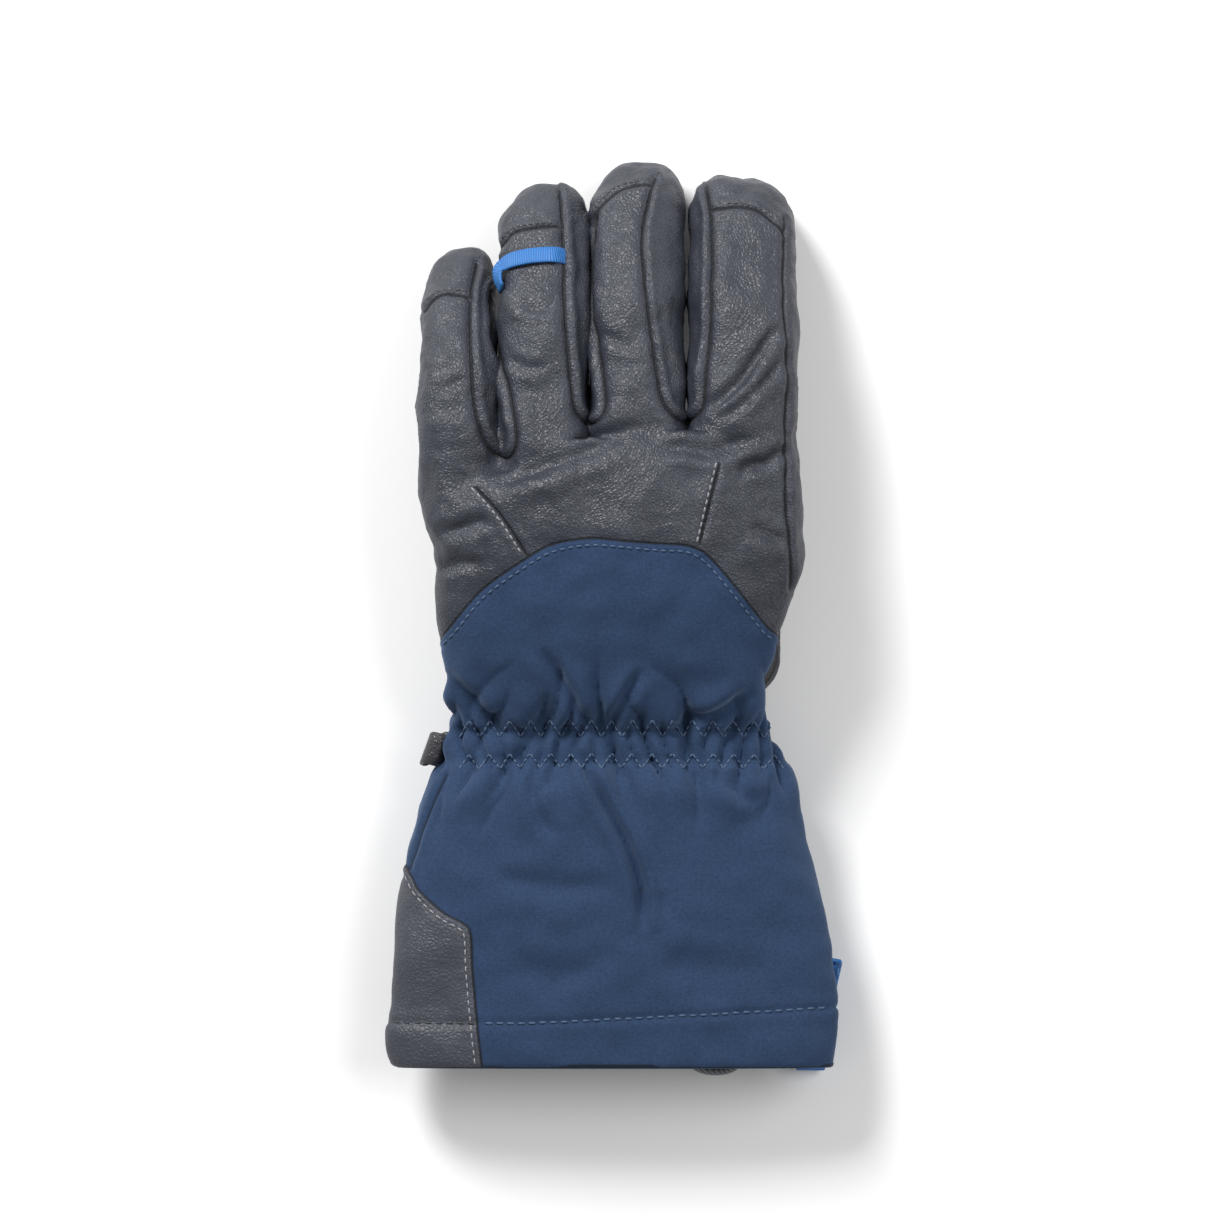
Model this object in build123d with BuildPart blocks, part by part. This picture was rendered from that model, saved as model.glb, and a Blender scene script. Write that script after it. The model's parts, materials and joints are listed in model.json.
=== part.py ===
from build123d import *
import os
from collections import namedtuple
from math import atan2, cos, degrees, radians, sin, tan

# Insulated gauntlet ski glove for the left hand, lying palm down with the thumb tucked under the
# palm. +X is the index-finger side, +Y points to the fingertips, +Z is the back of the hand, and
# z = 0 is the surface that the glove rests on. All sizes are in millimetres.

os.makedirs("parts", exist_ok=True)

# ---------------------------------------------------------------- driving dimensions: lengths
wrist_y = -47.0            # line about which the wrist bends
wrist_gap = 8.0            # half the length of the gathered wrist
gauntlet_length = 101.5    # gathered wrist to hem
hand_length = 89.0         # gathered wrist to the finger sleeves
finger_gap = 8.0           # half the length of a sleeve at a base knuckle
knuckle_gap = 8.8          # half the length of a sleeve at a middle knuckle
hem_depth = 16.0           # folded hem
thumb_root_reach = 25.0    # back edge of the hand to the thumb's root
thumb_knuckle_reach = 32.0
thumb_reach = 64.0         # thumb's root to its tip

# ---------------------------------------------------------------- driving dimensions: widths
hem_width = 156.0
cuff_width = 147.0         # gauntlet above the cord lock
forearm_width = 136.0
gauntlet_neck_width = 121.0
wrist_width = 111.0        # at the gather
hand_back_width = 108.5
heel_width = 112.0
palm_width = 122.0
knuckle_line_width = 130.0
finger_space = 1.0         # air between neighbouring fingers
hand_margin = 1.0          # hand shell past the outer fingers
thumb_width = 32.0
thumb_x = 42.0
wrist_x = -1.7             # the wrist sits a little to the little-finger side
fingers_x = -1.6

# ---------------------------------------------------------------- driving dimensions: heights
hem_clearance = 0.4        # air above and below the parts that lie under the hem
hem_top = 36.0
gauntlet_top = 41.0
neck_low = 8.0
neck_high = 36.0
rest_press = 0.25          # the resting underside is pressed flat by this much
heel_drop = 4.0            # the heel of the hand hangs below the palm
heel_top = 45.0
palm_clearance = 1.8       # underside of the palm above the tucked thumb
palm_top = 53.0
knuckle_line_top = 63.0
hand_front_top = 58.0
thumb_height = 23.2
finger_root_z = 41.5
finger_knuckle_z = 35.5
finger_tip_z = 7.5
dome_length = 14.0         # rounding at the end of a finger

# ---------------------------------------------------------------- driving dimensions: materials
leather = 1.6
softshell = 1.6
patch = 1.0                # leather sewn over the gauntlet's corner
palm_patch = 1.2
insulation = 3.0
lining = 1.0
stall_lining = 3.8         # quilted lining of a finger
gauntlet_lining_wall = 3.2
hem_wall = 3.0
gather_wall = 2.0
elastic_wall = 1.2
layer_gap = 0.15           # between layers that lie on each other
sleeve_gap = 0.25          # between a bending sleeve and its stiffer neighbours
corner_share = 0.42        # corner radius of a soft tube's section over its smaller side

# ---------------------------------------------------------------- driving dimensions: small parts
cord = 2.3                 # elastic drawcord
cord_clearance = 0.3
strand_spacing = 3.2       # the two strands of the drawcord, centre to centre
lock_x = 35.5
lock_size = (17.0, 10.0, 7.2)
lock_reach = 27.5          # hem to the lock
lock_bend_gap = 12.0       # lock to the first bend of the cord's tail
lock_travel = 2.0          # of the button
plunger = 4.8
plunger_clearance = 0.2
spring_wire = 0.45
guide_size = (12.0, 7.0, 6.6)
guide_reach = 43.0         # hem to the drawcord's guide
tape = 1.2                 # webbing of the pull loop
pull_loop_size = (10.0, 29.0, 6.9)
pull_loop_x = 67.0
wrist_loop_size = (7.2, 12.0, 10.0)
wrist_loop_wall = 1.3
wrist_loop_x = -60.2
finger_loop_width = 6.0
finger_loop_wall = 1.0
finger_loop_span = 25.0
finger_loop_rise = 9.5
finger_loop_reach = 60.0   # base knuckle of the ring finger to its loop
thumb_hole = 21.0          # bore between the palm and the thumb
gusset_wall = 3.5

# ---------------------------------------------------------------- places that follow
gauntlet_front_y = wrist_y - wrist_gap
hem_y = gauntlet_front_y - gauntlet_length
hem_seam_y = hem_y + hem_depth
hand_back_y = wrist_y + wrist_gap
hand_front_y = hand_back_y + hand_length
root_y = hand_front_y + finger_gap
thumb_root_y = hand_back_y + thumb_root_reach
thumb_knuckle_y = thumb_root_y + thumb_knuckle_reach
thumb_tip_y = thumb_root_y + thumb_reach
palm_low = thumb_height + palm_clearance
heel_low = palm_low - heel_drop
cord_z = lock_size[2] / 2 + hem_clearance
hem_lift = lock_size[2] + 2 * hem_clearance
lock_y = hem_y + lock_reach
guide_y = hem_y + guide_reach

# One cross-section of a soft tube: its place along the glove, its centre line and its four sides.
Station = namedtuple("Station", "y x low high width")

# A finger: width at its root and near its tip, thickness, base knuckle to middle knuckle, base
# knuckle to tip, and the length of its tip cap.
Finger = namedtuple("Finger", "name width tip_width height knuckle reach cap")

fingers = [
    Finger("pinky", 27.0, 23.0, 27.0, 30.5, 68.4, 17.2),
    Finger("ring", 30.0, 25.0, 29.0, 43.0, 90.5, 18.6),
    Finger("middle", 32.0, 26.0, 30.0, 48.0, 98.5, 14.5),
    Finger("index", 38.0, 29.0, 30.0, 45.0, 94.0, 17.0),
]

hand_front_width = sum(finger.width for finger in fingers) + 3 * finger_space + 2 * hand_margin

gauntlet_profile = [
    Station(hem_y, patch / 2, hem_lift, hem_top, hem_width),
    Station(hem_y + 47.5, 0.0, hem_lift, gauntlet_top - 2, cuff_width),
    Station(hem_y + 58.5, 0.0, -rest_press, gauntlet_top - 1, cuff_width - 2),
    Station(gauntlet_front_y - 23, wrist_x / 2, -rest_press, gauntlet_top, forearm_width),
    Station(gauntlet_front_y - 6, wrist_x / 2, neck_low / 2, neck_high + 2, gauntlet_neck_width + 6),
    Station(gauntlet_front_y, wrist_x / 2, neck_low, neck_high, gauntlet_neck_width),
]

wrist_profile = [
    Station(gauntlet_front_y, wrist_x / 2, neck_low, neck_high, gauntlet_neck_width - 2),
    Station(wrist_y, wrist_x, neck_low + 1, neck_high - 1, wrist_width),
    Station(hand_back_y, wrist_x, neck_low + 1, neck_high + 1, hand_back_width),
]

hand_profile = [
    Station(hand_back_y, wrist_x, neck_low + 1, neck_high + 1, hand_back_width),
    Station(hand_back_y + 9, wrist_x, heel_low, heel_top, hand_back_width + 1),
    Station(hand_back_y + 19, wrist_x, palm_low, heel_top + 6, heel_width),
    Station(hand_back_y + 37, 0.5, palm_low, palm_top + 3, palm_width),
    Station(hand_front_y - 18, 0.0, palm_low, knuckle_line_top, knuckle_line_width),
    Station(hand_front_y, fingers_x, palm_low, hand_front_top, hand_front_width),
]


def dome(centre_x, tip_y, tip_z, slope, width, height):
    """Sections that round off the end of a digit, from full size to its tip."""
    ends = []
    for back, share in ((1.0, 1.0), (0.45, 0.86), (0.12, 0.58), (0.0, 0.36)):
        away = back * dome_length
        middle = tip_z + slope * away
        half = share * height / 2
        ends.append(Station(tip_y - away, centre_x, middle - half, middle + half, share * width))
    return ends


def finger_profile(finger, centre_x):
    """A finger from the hand's front edge to its tip, bent down at its middle knuckle."""
    knuckle_y = root_y + finger.knuckle
    tip_y = root_y + finger.reach
    slope = (finger_knuckle_z - finger_tip_z) / (tip_y - knuckle_y)
    half = finger.height / 2
    waist = (finger.width + finger.tip_width) / 2
    start = [
        Station(hand_front_y, centre_x, palm_low, hand_front_top, finger.width),
        Station(root_y + finger_gap, centre_x, finger_root_z - half, finger_root_z + half, finger.width),
        Station(knuckle_y, centre_x, finger_knuckle_z - half, finger_knuckle_z + half, waist + 2),
    ]
    return start + dome(centre_x, tip_y, finger_tip_z, slope, finger.tip_width, finger.height - 4)


def thumb_profile():
    """The thumb, level on the resting surface, with a rounded root to turn on."""
    middle = thumb_height / 2
    rear = []
    for back, share in ((16, 0.36), (13.5, 0.68), (8, 0.92), (0, 1.0)):
        half = share * middle
        rear.append(Station(thumb_root_y - back, thumb_x, middle - half, middle + half, share * thumb_width))
    return rear + dome(thumb_x, thumb_tip_y, middle, 0.0, thumb_width - 3, thumb_height)


def section_at(profile, y):
    """The section of a profile at any place along it."""
    for near, far in zip(profile, profile[1:]):
        if near.y <= y <= far.y:
            share = (y - near.y) / (far.y - near.y)
            return Station(*(a + share * (b - a) for a, b in zip(near, far)))
    return profile[0] if y < profile[0].y else profile[-1]


def between(profile, start, end):
    """The stretch of a profile from one place to another."""
    inside = [station for station in profile if start + 0.01 < station.y < end - 0.01]
    return [section_at(profile, start)] + inside + [section_at(profile, end)]


def add_tube(stations, inset=0.0, mode=Mode.ADD):
    """A soft tube through rounded sections, each drawn in by the same inset."""
    sections = []
    for station in stations:
        wide = station.width - 2 * inset
        tall = station.high - station.low - 2 * inset
        middle = (station.high + station.low) / 2
        across = Plane(origin=(station.x, station.y, middle), x_dir=(1, 0, 0), z_dir=(0, 1, 0))
        with BuildSketch(across) as section:
            RectangleRounded(wide, tall, corner_share * min(wide, tall))
        sections.append(section.sketch)
    loft(sections, ruled=True, mode=mode)


def add_wall(stations, inset, wall, closed=0.0):
    """A tube's wall. With a closed length it stays shut at its far end, as a fingertip is."""
    add_tube(stations, inset)
    inner = between(stations, stations[0].y, stations[-1].y - closed)
    add_tube(inner, inset + wall, Mode.SUBTRACT)


def keep_side(profile, upper):
    """Keep what is above, or below, the side seam, which runs at mid height."""
    far = 300.0
    edge = far if upper else -far
    seam = [(station.y, (station.low + station.high) / 2) for station in profile]
    with BuildSketch(Plane.YZ) as half:
        with BuildLine():
            Polyline(*seam, (seam[-1][0], edge), (seam[0][0], edge), close=True)
        make_face()
    extrude(half.sketch, amount=far, both=True, mode=Mode.INTERSECT)


def write(piece, label):
    """Label a finished piece and write it to its own file."""
    piece.part.label = label
    export_step(piece.part, f"parts/{label}.step")


# ================================================================ gauntlet
gauntlet_body = between(gauntlet_profile, hem_seam_y, gauntlet_front_y)

for label, upper in (("gauntlet_back_panel", True), ("gauntlet_palm_panel", False)):
    with BuildPart() as gauntlet_panel:
        add_wall(gauntlet_body, 0.0, softshell)
        keep_side(gauntlet_profile, upper)
        split(bisect_by=Plane.XY, keep=Keep.TOP)
    write(gauntlet_panel, label)

with BuildPart() as hem_band:
    add_wall(between(gauntlet_profile, hem_y, hem_seam_y), 0.0, hem_wall)
write(hem_band, "hem_band")

# Leather over the little-finger corner of the gauntlet. Its edge drops steeply and then runs to
# the hem, and it is wrapped round the side down to a seam near the resting surface.
patch_edge = [(-69.0, hem_y + 68.0), (-63.5, hem_y + 58.5), (-51.0, hem_y + 50.0), (-48.5, hem_y + 46.5),
              (-44.5, hem_y)]
patch_seam_z = 3.0
with BuildPart() as corner_patch:
    add_wall(between(gauntlet_profile, hem_y, gauntlet_front_y), -patch, patch)
    with BuildSketch(Plane.XY.offset(patch_seam_z)):
        with BuildLine():
            Polyline(*patch_edge, (-hem_width, hem_y), (-hem_width, patch_edge[0][1]), close=True)
        make_face()
    extrude(amount=gauntlet_top, mode=Mode.INTERSECT)
write(corner_patch, "corner_patch")

# The drawcord runs round the gauntlet in a square groove sunk in the lining's outer face.
groove = cord + cord_clearance
tunnel_depth = softshell + layer_gap + groove / 2
tunnel_section = section_at(gauntlet_profile, guide_y)
tunnel_plane = Plane(
    origin=(tunnel_section.x, guide_y, (tunnel_section.low + tunnel_section.high) / 2),
    x_dir=(1, 0, 0),
    z_dir=(0, 1, 0),
)
tunnel_wide = tunnel_section.width - 2 * tunnel_depth
tunnel_tall = tunnel_section.high - tunnel_section.low - 2 * tunnel_depth
with BuildSketch(tunnel_plane) as tunnel_outline:
    RectangleRounded(tunnel_wide, tunnel_tall, corner_share * min(tunnel_wide, tunnel_tall))
tunnel_route = tunnel_outline.sketch.faces()[0].outer_wire()


with BuildPart() as gauntlet_lining:
    add_wall(gauntlet_body, softshell + layer_gap, gauntlet_lining_wall)
    with BuildSketch(tunnel_plane):
        RectangleRounded(tunnel_section.width, tunnel_section.high - tunnel_section.low, groove)
        RectangleRounded(tunnel_wide - groove, tunnel_tall - groove,
                         corner_share * (tunnel_tall - groove), mode=Mode.SUBTRACT)
    extrude(amount=groove / 2, both=True, mode=Mode.SUBTRACT)
write(gauntlet_lining, "gauntlet_lining")

with BuildPart() as gauntlet_drawcord:
    with BuildSketch(Plane(origin=tunnel_route @ 0, z_dir=tunnel_route % 0)):
        Circle(cord / 2)
    sweep(path=tunnel_route)
write(gauntlet_drawcord, "gauntlet_drawcord")

# ================================================================ gathered wrist
gather = between(wrist_profile, gauntlet_front_y + sleeve_gap, hand_back_y - sleeve_gap)
with BuildPart() as wrist_gather:
    add_wall(gather, 0.0, gather_wall)
write(wrist_gather, "wrist_gather")

elastic_half = 5.0
with BuildPart() as wrist_elastic:
    add_wall(between(wrist_profile, wrist_y - elastic_half, wrist_y + elastic_half),
             gather_wall + layer_gap, elastic_wall)
write(wrist_elastic, "wrist_elastic")

# A strip of leather folded to a tunnel and sewn by its root to the wrist's little-finger side.
loop_wide, loop_long, loop_tall = wrist_loop_size
loop_z = (neck_low + neck_high) / 2
loop_plane = Plane(
    origin=(wrist_loop_x - loop_wide / 2, wrist_y + 1.0, loop_z), x_dir=(1, 0, 0), z_dir=(0, 1, 0)
)
with BuildPart() as wrist_loop:
    with BuildSketch(loop_plane):
        RectangleRounded(loop_wide, loop_tall, 3.0)
        RectangleRounded(loop_wide - 2 * wrist_loop_wall, loop_tall - 2 * wrist_loop_wall, 1.8,
                         mode=Mode.SUBTRACT)
    extrude(amount=loop_long / 2, both=True)
write(wrist_loop, "wrist_loop")

# ================================================================ drawcord's guide, lock and tail
guide_wide, guide_long, guide_tall = guide_size
with BuildPart() as drawcord_guide:
    with BuildSketch(Plane.XY.offset(hem_lift)):
        with Locations((lock_x, guide_y)):
            RectangleRounded(guide_wide, guide_long, 2.0)
    extrude(amount=-guide_tall)
    with BuildSketch(Plane.XZ.offset(-guide_y)):
        with Locations((lock_x - strand_spacing / 2, cord_z), (lock_x + strand_spacing / 2, cord_z)):
            Circle((cord - cord_clearance) / 2)
    extrude(amount=guide_long, both=True, mode=Mode.SUBTRACT)
write(drawcord_guide, "drawcord_guide")

# The free tail leaves the guide, passes through the lock as two strands and lies as one loop
# that comes out from under the hem.
tail_start_y = guide_y - guide_long / 2
near_strand = lock_x - strand_spacing / 2
far_strand = lock_x + strand_spacing / 2
tail_points = [
    (near_strand, tail_start_y, cord_z),
    (near_strand, lock_y - lock_bend_gap, cord_z),
    (24.4, hem_y + 5.9, 2.6),
    (28.4, hem_y - 3.1, 1.6),
    (42.6, hem_y - 3.5, 1.5),
    (47.2, hem_y + 6.3, 2.4),
    (far_strand, lock_y - lock_bend_gap, cord_z),
    (far_strand, tail_start_y, cord_z),
]


def bend_radii(points):
    """Each corner's arc is as large as its two runs allow."""
    radii = []
    for before, here, after in zip(points, points[1:], points[2:]):
        run_in = Vector(*here) - Vector(*before)
        run_out = Vector(*after) - Vector(*here)
        turn = radians(run_in.get_angle(run_out))
        radii.append(0.45 * min(run_in.length, run_out.length) / tan(turn / 2))
    return radii


tail_radii = bend_radii(tail_points)
print("drawcord tail radii in diameters:", [round(radius / cord, 1) for radius in tail_radii])
with BuildPart() as drawcord_tail:
    with BuildLine() as tail_route:
        FilletPolyline(*tail_points, radius=tail_radii)
    with BuildSketch(Plane(origin=tail_points[0], z_dir=(0, -1, 0))):
        Circle(cord / 2)
    sweep()
print("drawcord tail length:", round(tail_route.wire().length, 1))
write(drawcord_tail, "drawcord_tail")

# Spring cord lock: the strands run along Y through body and plunger, the button is pressed in
# along X against a coil spring at the blind end of the bore.
lock_wide, lock_long, lock_tall = lock_size
bore = plunger + plunger_clearance
bore_floor = 1.2
bore_start_x = lock_x - lock_wide / 2 + bore_floor
strand_half = (strand_spacing + cord) / 2
slot_wide = 2 * strand_half + cord_clearance
slot_tall = cord + cord_clearance
plunger_tip = 1.4
plunger_start_x = lock_x - slot_wide / 2 - plunger_tip
across_lock = Plane.YZ.offset(bore_start_x)
along_lock = Plane(origin=(lock_x, lock_y, cord_z), x_dir=(1, 0, 0), z_dir=(0, 1, 0))

with BuildPart() as cord_lock_body:
    with Locations((lock_x, lock_y, cord_z)):
        Box(lock_wide, lock_long, lock_tall)
    fillet(cord_lock_body.edges().filter_by(Axis.X), 1.1)
    with BuildSketch(across_lock):
        with Locations((lock_y, cord_z)):
            Circle(bore / 2)
    extrude(amount=lock_wide, mode=Mode.SUBTRACT)
    with BuildSketch(along_lock):
        SlotOverall(slot_wide, slot_tall)
    extrude(amount=lock_long, both=True, mode=Mode.SUBTRACT)
write(cord_lock_body, "cord_lock_body")

button_gap = 0.4
button_head = 2.8
head_start_x = lock_x + lock_wide / 2 + lock_travel + button_gap
with BuildPart() as cord_lock_button:
    with BuildSketch(Plane.YZ.offset(plunger_start_x)):
        with Locations((lock_y, cord_z)):
            Circle(plunger / 2)
    extrude(amount=head_start_x - plunger_start_x)
    with BuildSketch(Plane.YZ.offset(head_start_x)):
        with Locations((lock_y, cord_z)):
            Circle(lock_tall / 2 - button_gap)
    extrude(amount=button_head)
    fillet(cord_lock_button.faces().sort_by(Axis.X)[-1].edges(), 1.0)
    with BuildSketch(Plane(origin=(lock_x + lock_travel / 2, lock_y, cord_z), x_dir=(1, 0, 0),
                           z_dir=(0, 1, 0))):
        SlotOverall(slot_wide + lock_travel, slot_tall)
    extrude(amount=plunger, both=True, mode=Mode.SUBTRACT)
write(cord_lock_button, "cord_lock_button")

spring_turns = 3
spring_room = plunger_start_x - bore_start_x - 2 * layer_gap
spring_pitch = (spring_room - spring_wire) / spring_turns
spring_radius = (bore - spring_wire) / 2 - plunger_clearance
with BuildPart() as cord_lock_spring:
    with BuildLine() as coil:
        Helix(spring_pitch, spring_pitch * spring_turns, spring_radius,
              center=(bore_start_x + layer_gap + spring_wire / 2, lock_y, cord_z), direction=(1, 0, 0))
    with BuildSketch(Plane(origin=coil.edge() @ 0, z_dir=coil.edge() % 0)):
        Circle(spring_wire / 2)
    sweep()
write(cord_lock_spring, "cord_lock_spring")

# ================================================================ pull loop at the hem
pull_wide, pull_long, pull_tall = pull_loop_size
pull_z = hem_lift - hem_clearance - pull_tall / 2
pull_y = hem_y + 0.4 + pull_long / 2
with BuildPart() as pull_loop:
    with BuildSketch(Plane.YZ.offset(pull_loop_x - pull_wide / 2)):
        with Locations((pull_y, pull_z)):
            SlotOverall(pull_long, pull_tall)
            SlotOverall(pull_long - 2 * tape, pull_tall - 2 * tape, mode=Mode.SUBTRACT)
    extrude(amount=pull_wide)
write(pull_loop, "pull_loop")

# ================================================================ hand
hand_open = between(hand_profile, hand_back_y, hand_front_y)
arch_rise = 63.0           # back edge of the hand to the crown of the softshell arch
arch_side = 30.0           # back edge of the hand to the arch's ends
arch_shoulder = 57.0


def arch_outline():
    """The softshell's arched front edge across the back of the hand, closed behind the wrist."""
    half = knuckle_line_width / 2
    back = hand_back_y - 5
    crown = [
        (-half, hand_back_y + arch_side),
        (-half * 0.45, hand_back_y + arch_shoulder),
        (0.0, hand_back_y + arch_rise),
        (half * 0.45, hand_back_y + arch_shoulder),
        (half, hand_back_y + arch_side),
    ]
    with BuildSketch() as outline:
        with BuildLine():
            Spline(*crown)
            Polyline(crown[-1], (half, back), (-half, back), crown[0])
        make_face()
    return outline.sketch


for label, mode in (("hand_back_softshell", Mode.INTERSECT), ("hand_back_leather", Mode.SUBTRACT)):
    with BuildPart() as hand_back:
        add_wall(hand_open, 0.0, leather)
        keep_side(hand_profile, True)
        extrude(arch_outline(), amount=knuckle_line_top + 10, mode=mode)
    write(hand_back, label)


def cut_thumb_hole():
    """The way from the palm down into the thumb."""
    with BuildSketch() as hole:
        with Locations((thumb_x, thumb_root_y)):
            Circle(thumb_hole / 2)
    extrude(hole.sketch, amount=(palm_low + palm_top) / 2, mode=Mode.SUBTRACT)


with BuildPart() as hand_palm_leather:
    add_wall(hand_open, 0.0, leather)
    keep_side(hand_profile, False)
    cut_thumb_hole()
write(hand_palm_leather, "hand_palm_leather")

with BuildPart() as palm_reinforcement:
    add_wall(between(hand_profile, hand_back_y + 20, hand_front_y - 4), -palm_patch, palm_patch)
    with BuildSketch():
        with Locations((-18.0, hand_front_y - 36)):
            RectangleRounded(76.0, 60.0, 18.0)
    extrude(amount=palm_low + 2, mode=Mode.INTERSECT)
write(palm_reinforcement, "palm_reinforcement")

with BuildPart() as hand_insulation:
    add_wall(hand_open, leather + layer_gap, insulation)
    cut_thumb_hole()
write(hand_insulation, "hand_insulation")

with BuildPart() as hand_lining:
    add_wall(hand_open, leather + insulation + 2 * layer_gap, lining)
    cut_thumb_hole()
write(hand_lining, "hand_lining")

# ================================================================ fingers
finger_left = fingers_x - hand_front_width / 2 + hand_margin
finger_places = []
for finger in fingers:
    centre_x = finger_left + finger.width / 2
    finger_left += finger.width + finger_space
    finger_places.append((finger, centre_x))

for finger, centre_x in finger_places:
    profile = finger_profile(finger, centre_x)
    knuckle_y = root_y + finger.knuckle
    tip_y = root_y + finger.reach
    base = between(profile, root_y + finger_gap, knuckle_y - knuckle_gap)
    stall = between(profile, knuckle_y + knuckle_gap, tip_y - finger.cap)
    cap = between(profile, tip_y - finger.cap, tip_y)
    front = between(profile, knuckle_y + knuckle_gap, tip_y - leather - layer_gap)

    with BuildPart() as base_sleeve:
        add_wall(between(profile, hand_front_y + sleeve_gap, root_y + finger_gap - sleeve_gap), 0.0, leather)
    write(base_sleeve, f"{finger.name}_base_sleeve")

    with BuildPart() as base_shell:
        add_wall(base, 0.0, leather)
    write(base_shell, f"{finger.name}_base_shell")

    with BuildPart() as base_lining:
        add_wall(base, leather + layer_gap, stall_lining)
    write(base_lining, f"{finger.name}_base_lining")

    with BuildPart() as knuckle_sleeve:
        add_wall(between(profile, knuckle_y - knuckle_gap + sleeve_gap, knuckle_y + knuckle_gap - sleeve_gap),
                 0.0, leather)
    write(knuckle_sleeve, f"{finger.name}_knuckle_sleeve")

    with BuildPart() as tip_shell:
        add_wall(stall, 0.0, leather)
    write(tip_shell, f"{finger.name}_tip_shell")

    with BuildPart() as tip_cap:
        add_wall(cap, 0.0, leather, closed=leather)
    write(tip_cap, f"{finger.name}_tip_cap")

    with BuildPart() as tip_lining:
        add_wall(front, leather + layer_gap, stall_lining, closed=stall_lining)
    write(tip_lining, f"{finger.name}_tip_lining")

# Tape loop that arches over the back of the ring finger's far half, square to its slope.
ring, ring_x = finger_places[1]
ring_profile = finger_profile(ring, ring_x)
loop_y = root_y + finger_loop_reach
loop_top = section_at(ring_profile, loop_y).high
fall = (section_at(ring_profile, loop_y + 1).high - loop_top)
fall_angle = atan2(-fall, 1.0)
loop_foot = 2.6            # the feet stand this much below the finger's ridge
arch_plane = Plane(
    origin=(ring_x, loop_y, loop_top),
    x_dir=(1, 0, 0),
    z_dir=(0, -cos(fall_angle), sin(fall_angle)),
)
with BuildPart() as finger_loop:
    with BuildSketch(arch_plane):
        with BuildLine():
            half_span = finger_loop_span / 2
            inner_half = half_span - finger_loop_wall
            inner_rise = finger_loop_rise - finger_loop_wall
            outer_arc = ThreePointArc((-half_span, -loop_foot), (0, finger_loop_rise - loop_foot),
                                      (half_span, -loop_foot))
            Line(outer_arc @ 1, (inner_half, -loop_foot))
            ThreePointArc((inner_half, -loop_foot), (0, inner_rise - loop_foot), (-inner_half, -loop_foot))
            Line((-inner_half, -loop_foot), outer_arc @ 0)
        make_face()
    extrude(amount=finger_loop_width / 2, both=True)
write(finger_loop, "finger_loop")
print("finger loop slope:", round(degrees(fall_angle), 1))

# ================================================================ thumb
thumb = thumb_profile()
thumb_base = between(thumb, thumb[0].y, thumb_knuckle_y - knuckle_gap)
thumb_rear = between(thumb, thumb[0].y + leather, thumb_knuckle_y - knuckle_gap)
thumb_cap_y = thumb_tip_y - 15.0


def open_thumb_top():
    """The hole in the thumb's upper side that meets the palm's."""
    with BuildSketch(Plane.XY.offset(thumb_height / 2)) as hole:
        with Locations((thumb_x, thumb_root_y)):
            Circle(thumb_hole / 2)
    extrude(hole.sketch, amount=thumb_height, mode=Mode.SUBTRACT)


with BuildPart() as thumb_base_shell:
    add_tube(thumb_base)
    add_tube(thumb_rear, leather, Mode.SUBTRACT)
    open_thumb_top()
write(thumb_base_shell, "thumb_base_shell")

lining_start = thumb[0].y + leather + layer_gap
with BuildPart() as thumb_base_lining:
    add_tube(between(thumb, lining_start, thumb_knuckle_y - knuckle_gap), leather + layer_gap)
    add_tube(between(thumb, lining_start + stall_lining, thumb_knuckle_y - knuckle_gap),
             leather + layer_gap + stall_lining, Mode.SUBTRACT)
    open_thumb_top()
write(thumb_base_lining, "thumb_base_lining")

# The gusset is a soft collar that fills the space between the palm and the thumb.
with BuildPart() as thumb_gusset:
    with BuildSketch(Plane.XY.offset(thumb_height / 2 + 3)):
        with Locations((thumb_x, thumb_root_y)):
            Circle(thumb_hole / 2 + gusset_wall)
            Circle(thumb_hole / 2, mode=Mode.SUBTRACT)
    extrude(amount=palm_low - thumb_height / 2)
    add_tube(hand_open, -sleeve_gap, Mode.SUBTRACT)
    add_tube(thumb_base, -sleeve_gap, Mode.SUBTRACT)
write(thumb_gusset, "thumb_gusset")

with BuildPart() as thumb_knuckle_sleeve:
    add_wall(between(thumb, thumb_knuckle_y - knuckle_gap + sleeve_gap,
                     thumb_knuckle_y + knuckle_gap - sleeve_gap), 0.0, leather)
write(thumb_knuckle_sleeve, "thumb_knuckle_sleeve")

with BuildPart() as thumb_tip_shell:
    add_wall(between(thumb, thumb_knuckle_y + knuckle_gap, thumb_cap_y), 0.0, leather)
write(thumb_tip_shell, "thumb_tip_shell")

with BuildPart() as thumb_tip_cap:
    add_wall(between(thumb, thumb_cap_y, thumb_tip_y), 0.0, leather, closed=leather)
write(thumb_tip_cap, "thumb_tip_cap")

with BuildPart() as thumb_tip_lining:
    add_wall(between(thumb, thumb_knuckle_y + knuckle_gap, thumb_tip_y - leather - layer_gap),
             leather + layer_gap, stall_lining, closed=stall_lining)
write(thumb_tip_lining, "thumb_tip_lining")
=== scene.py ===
import json
import math

import bmesh
import bpy
import numpy as np
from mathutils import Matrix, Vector, noise
from mathutils.bvhtree import BVHTree

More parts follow.
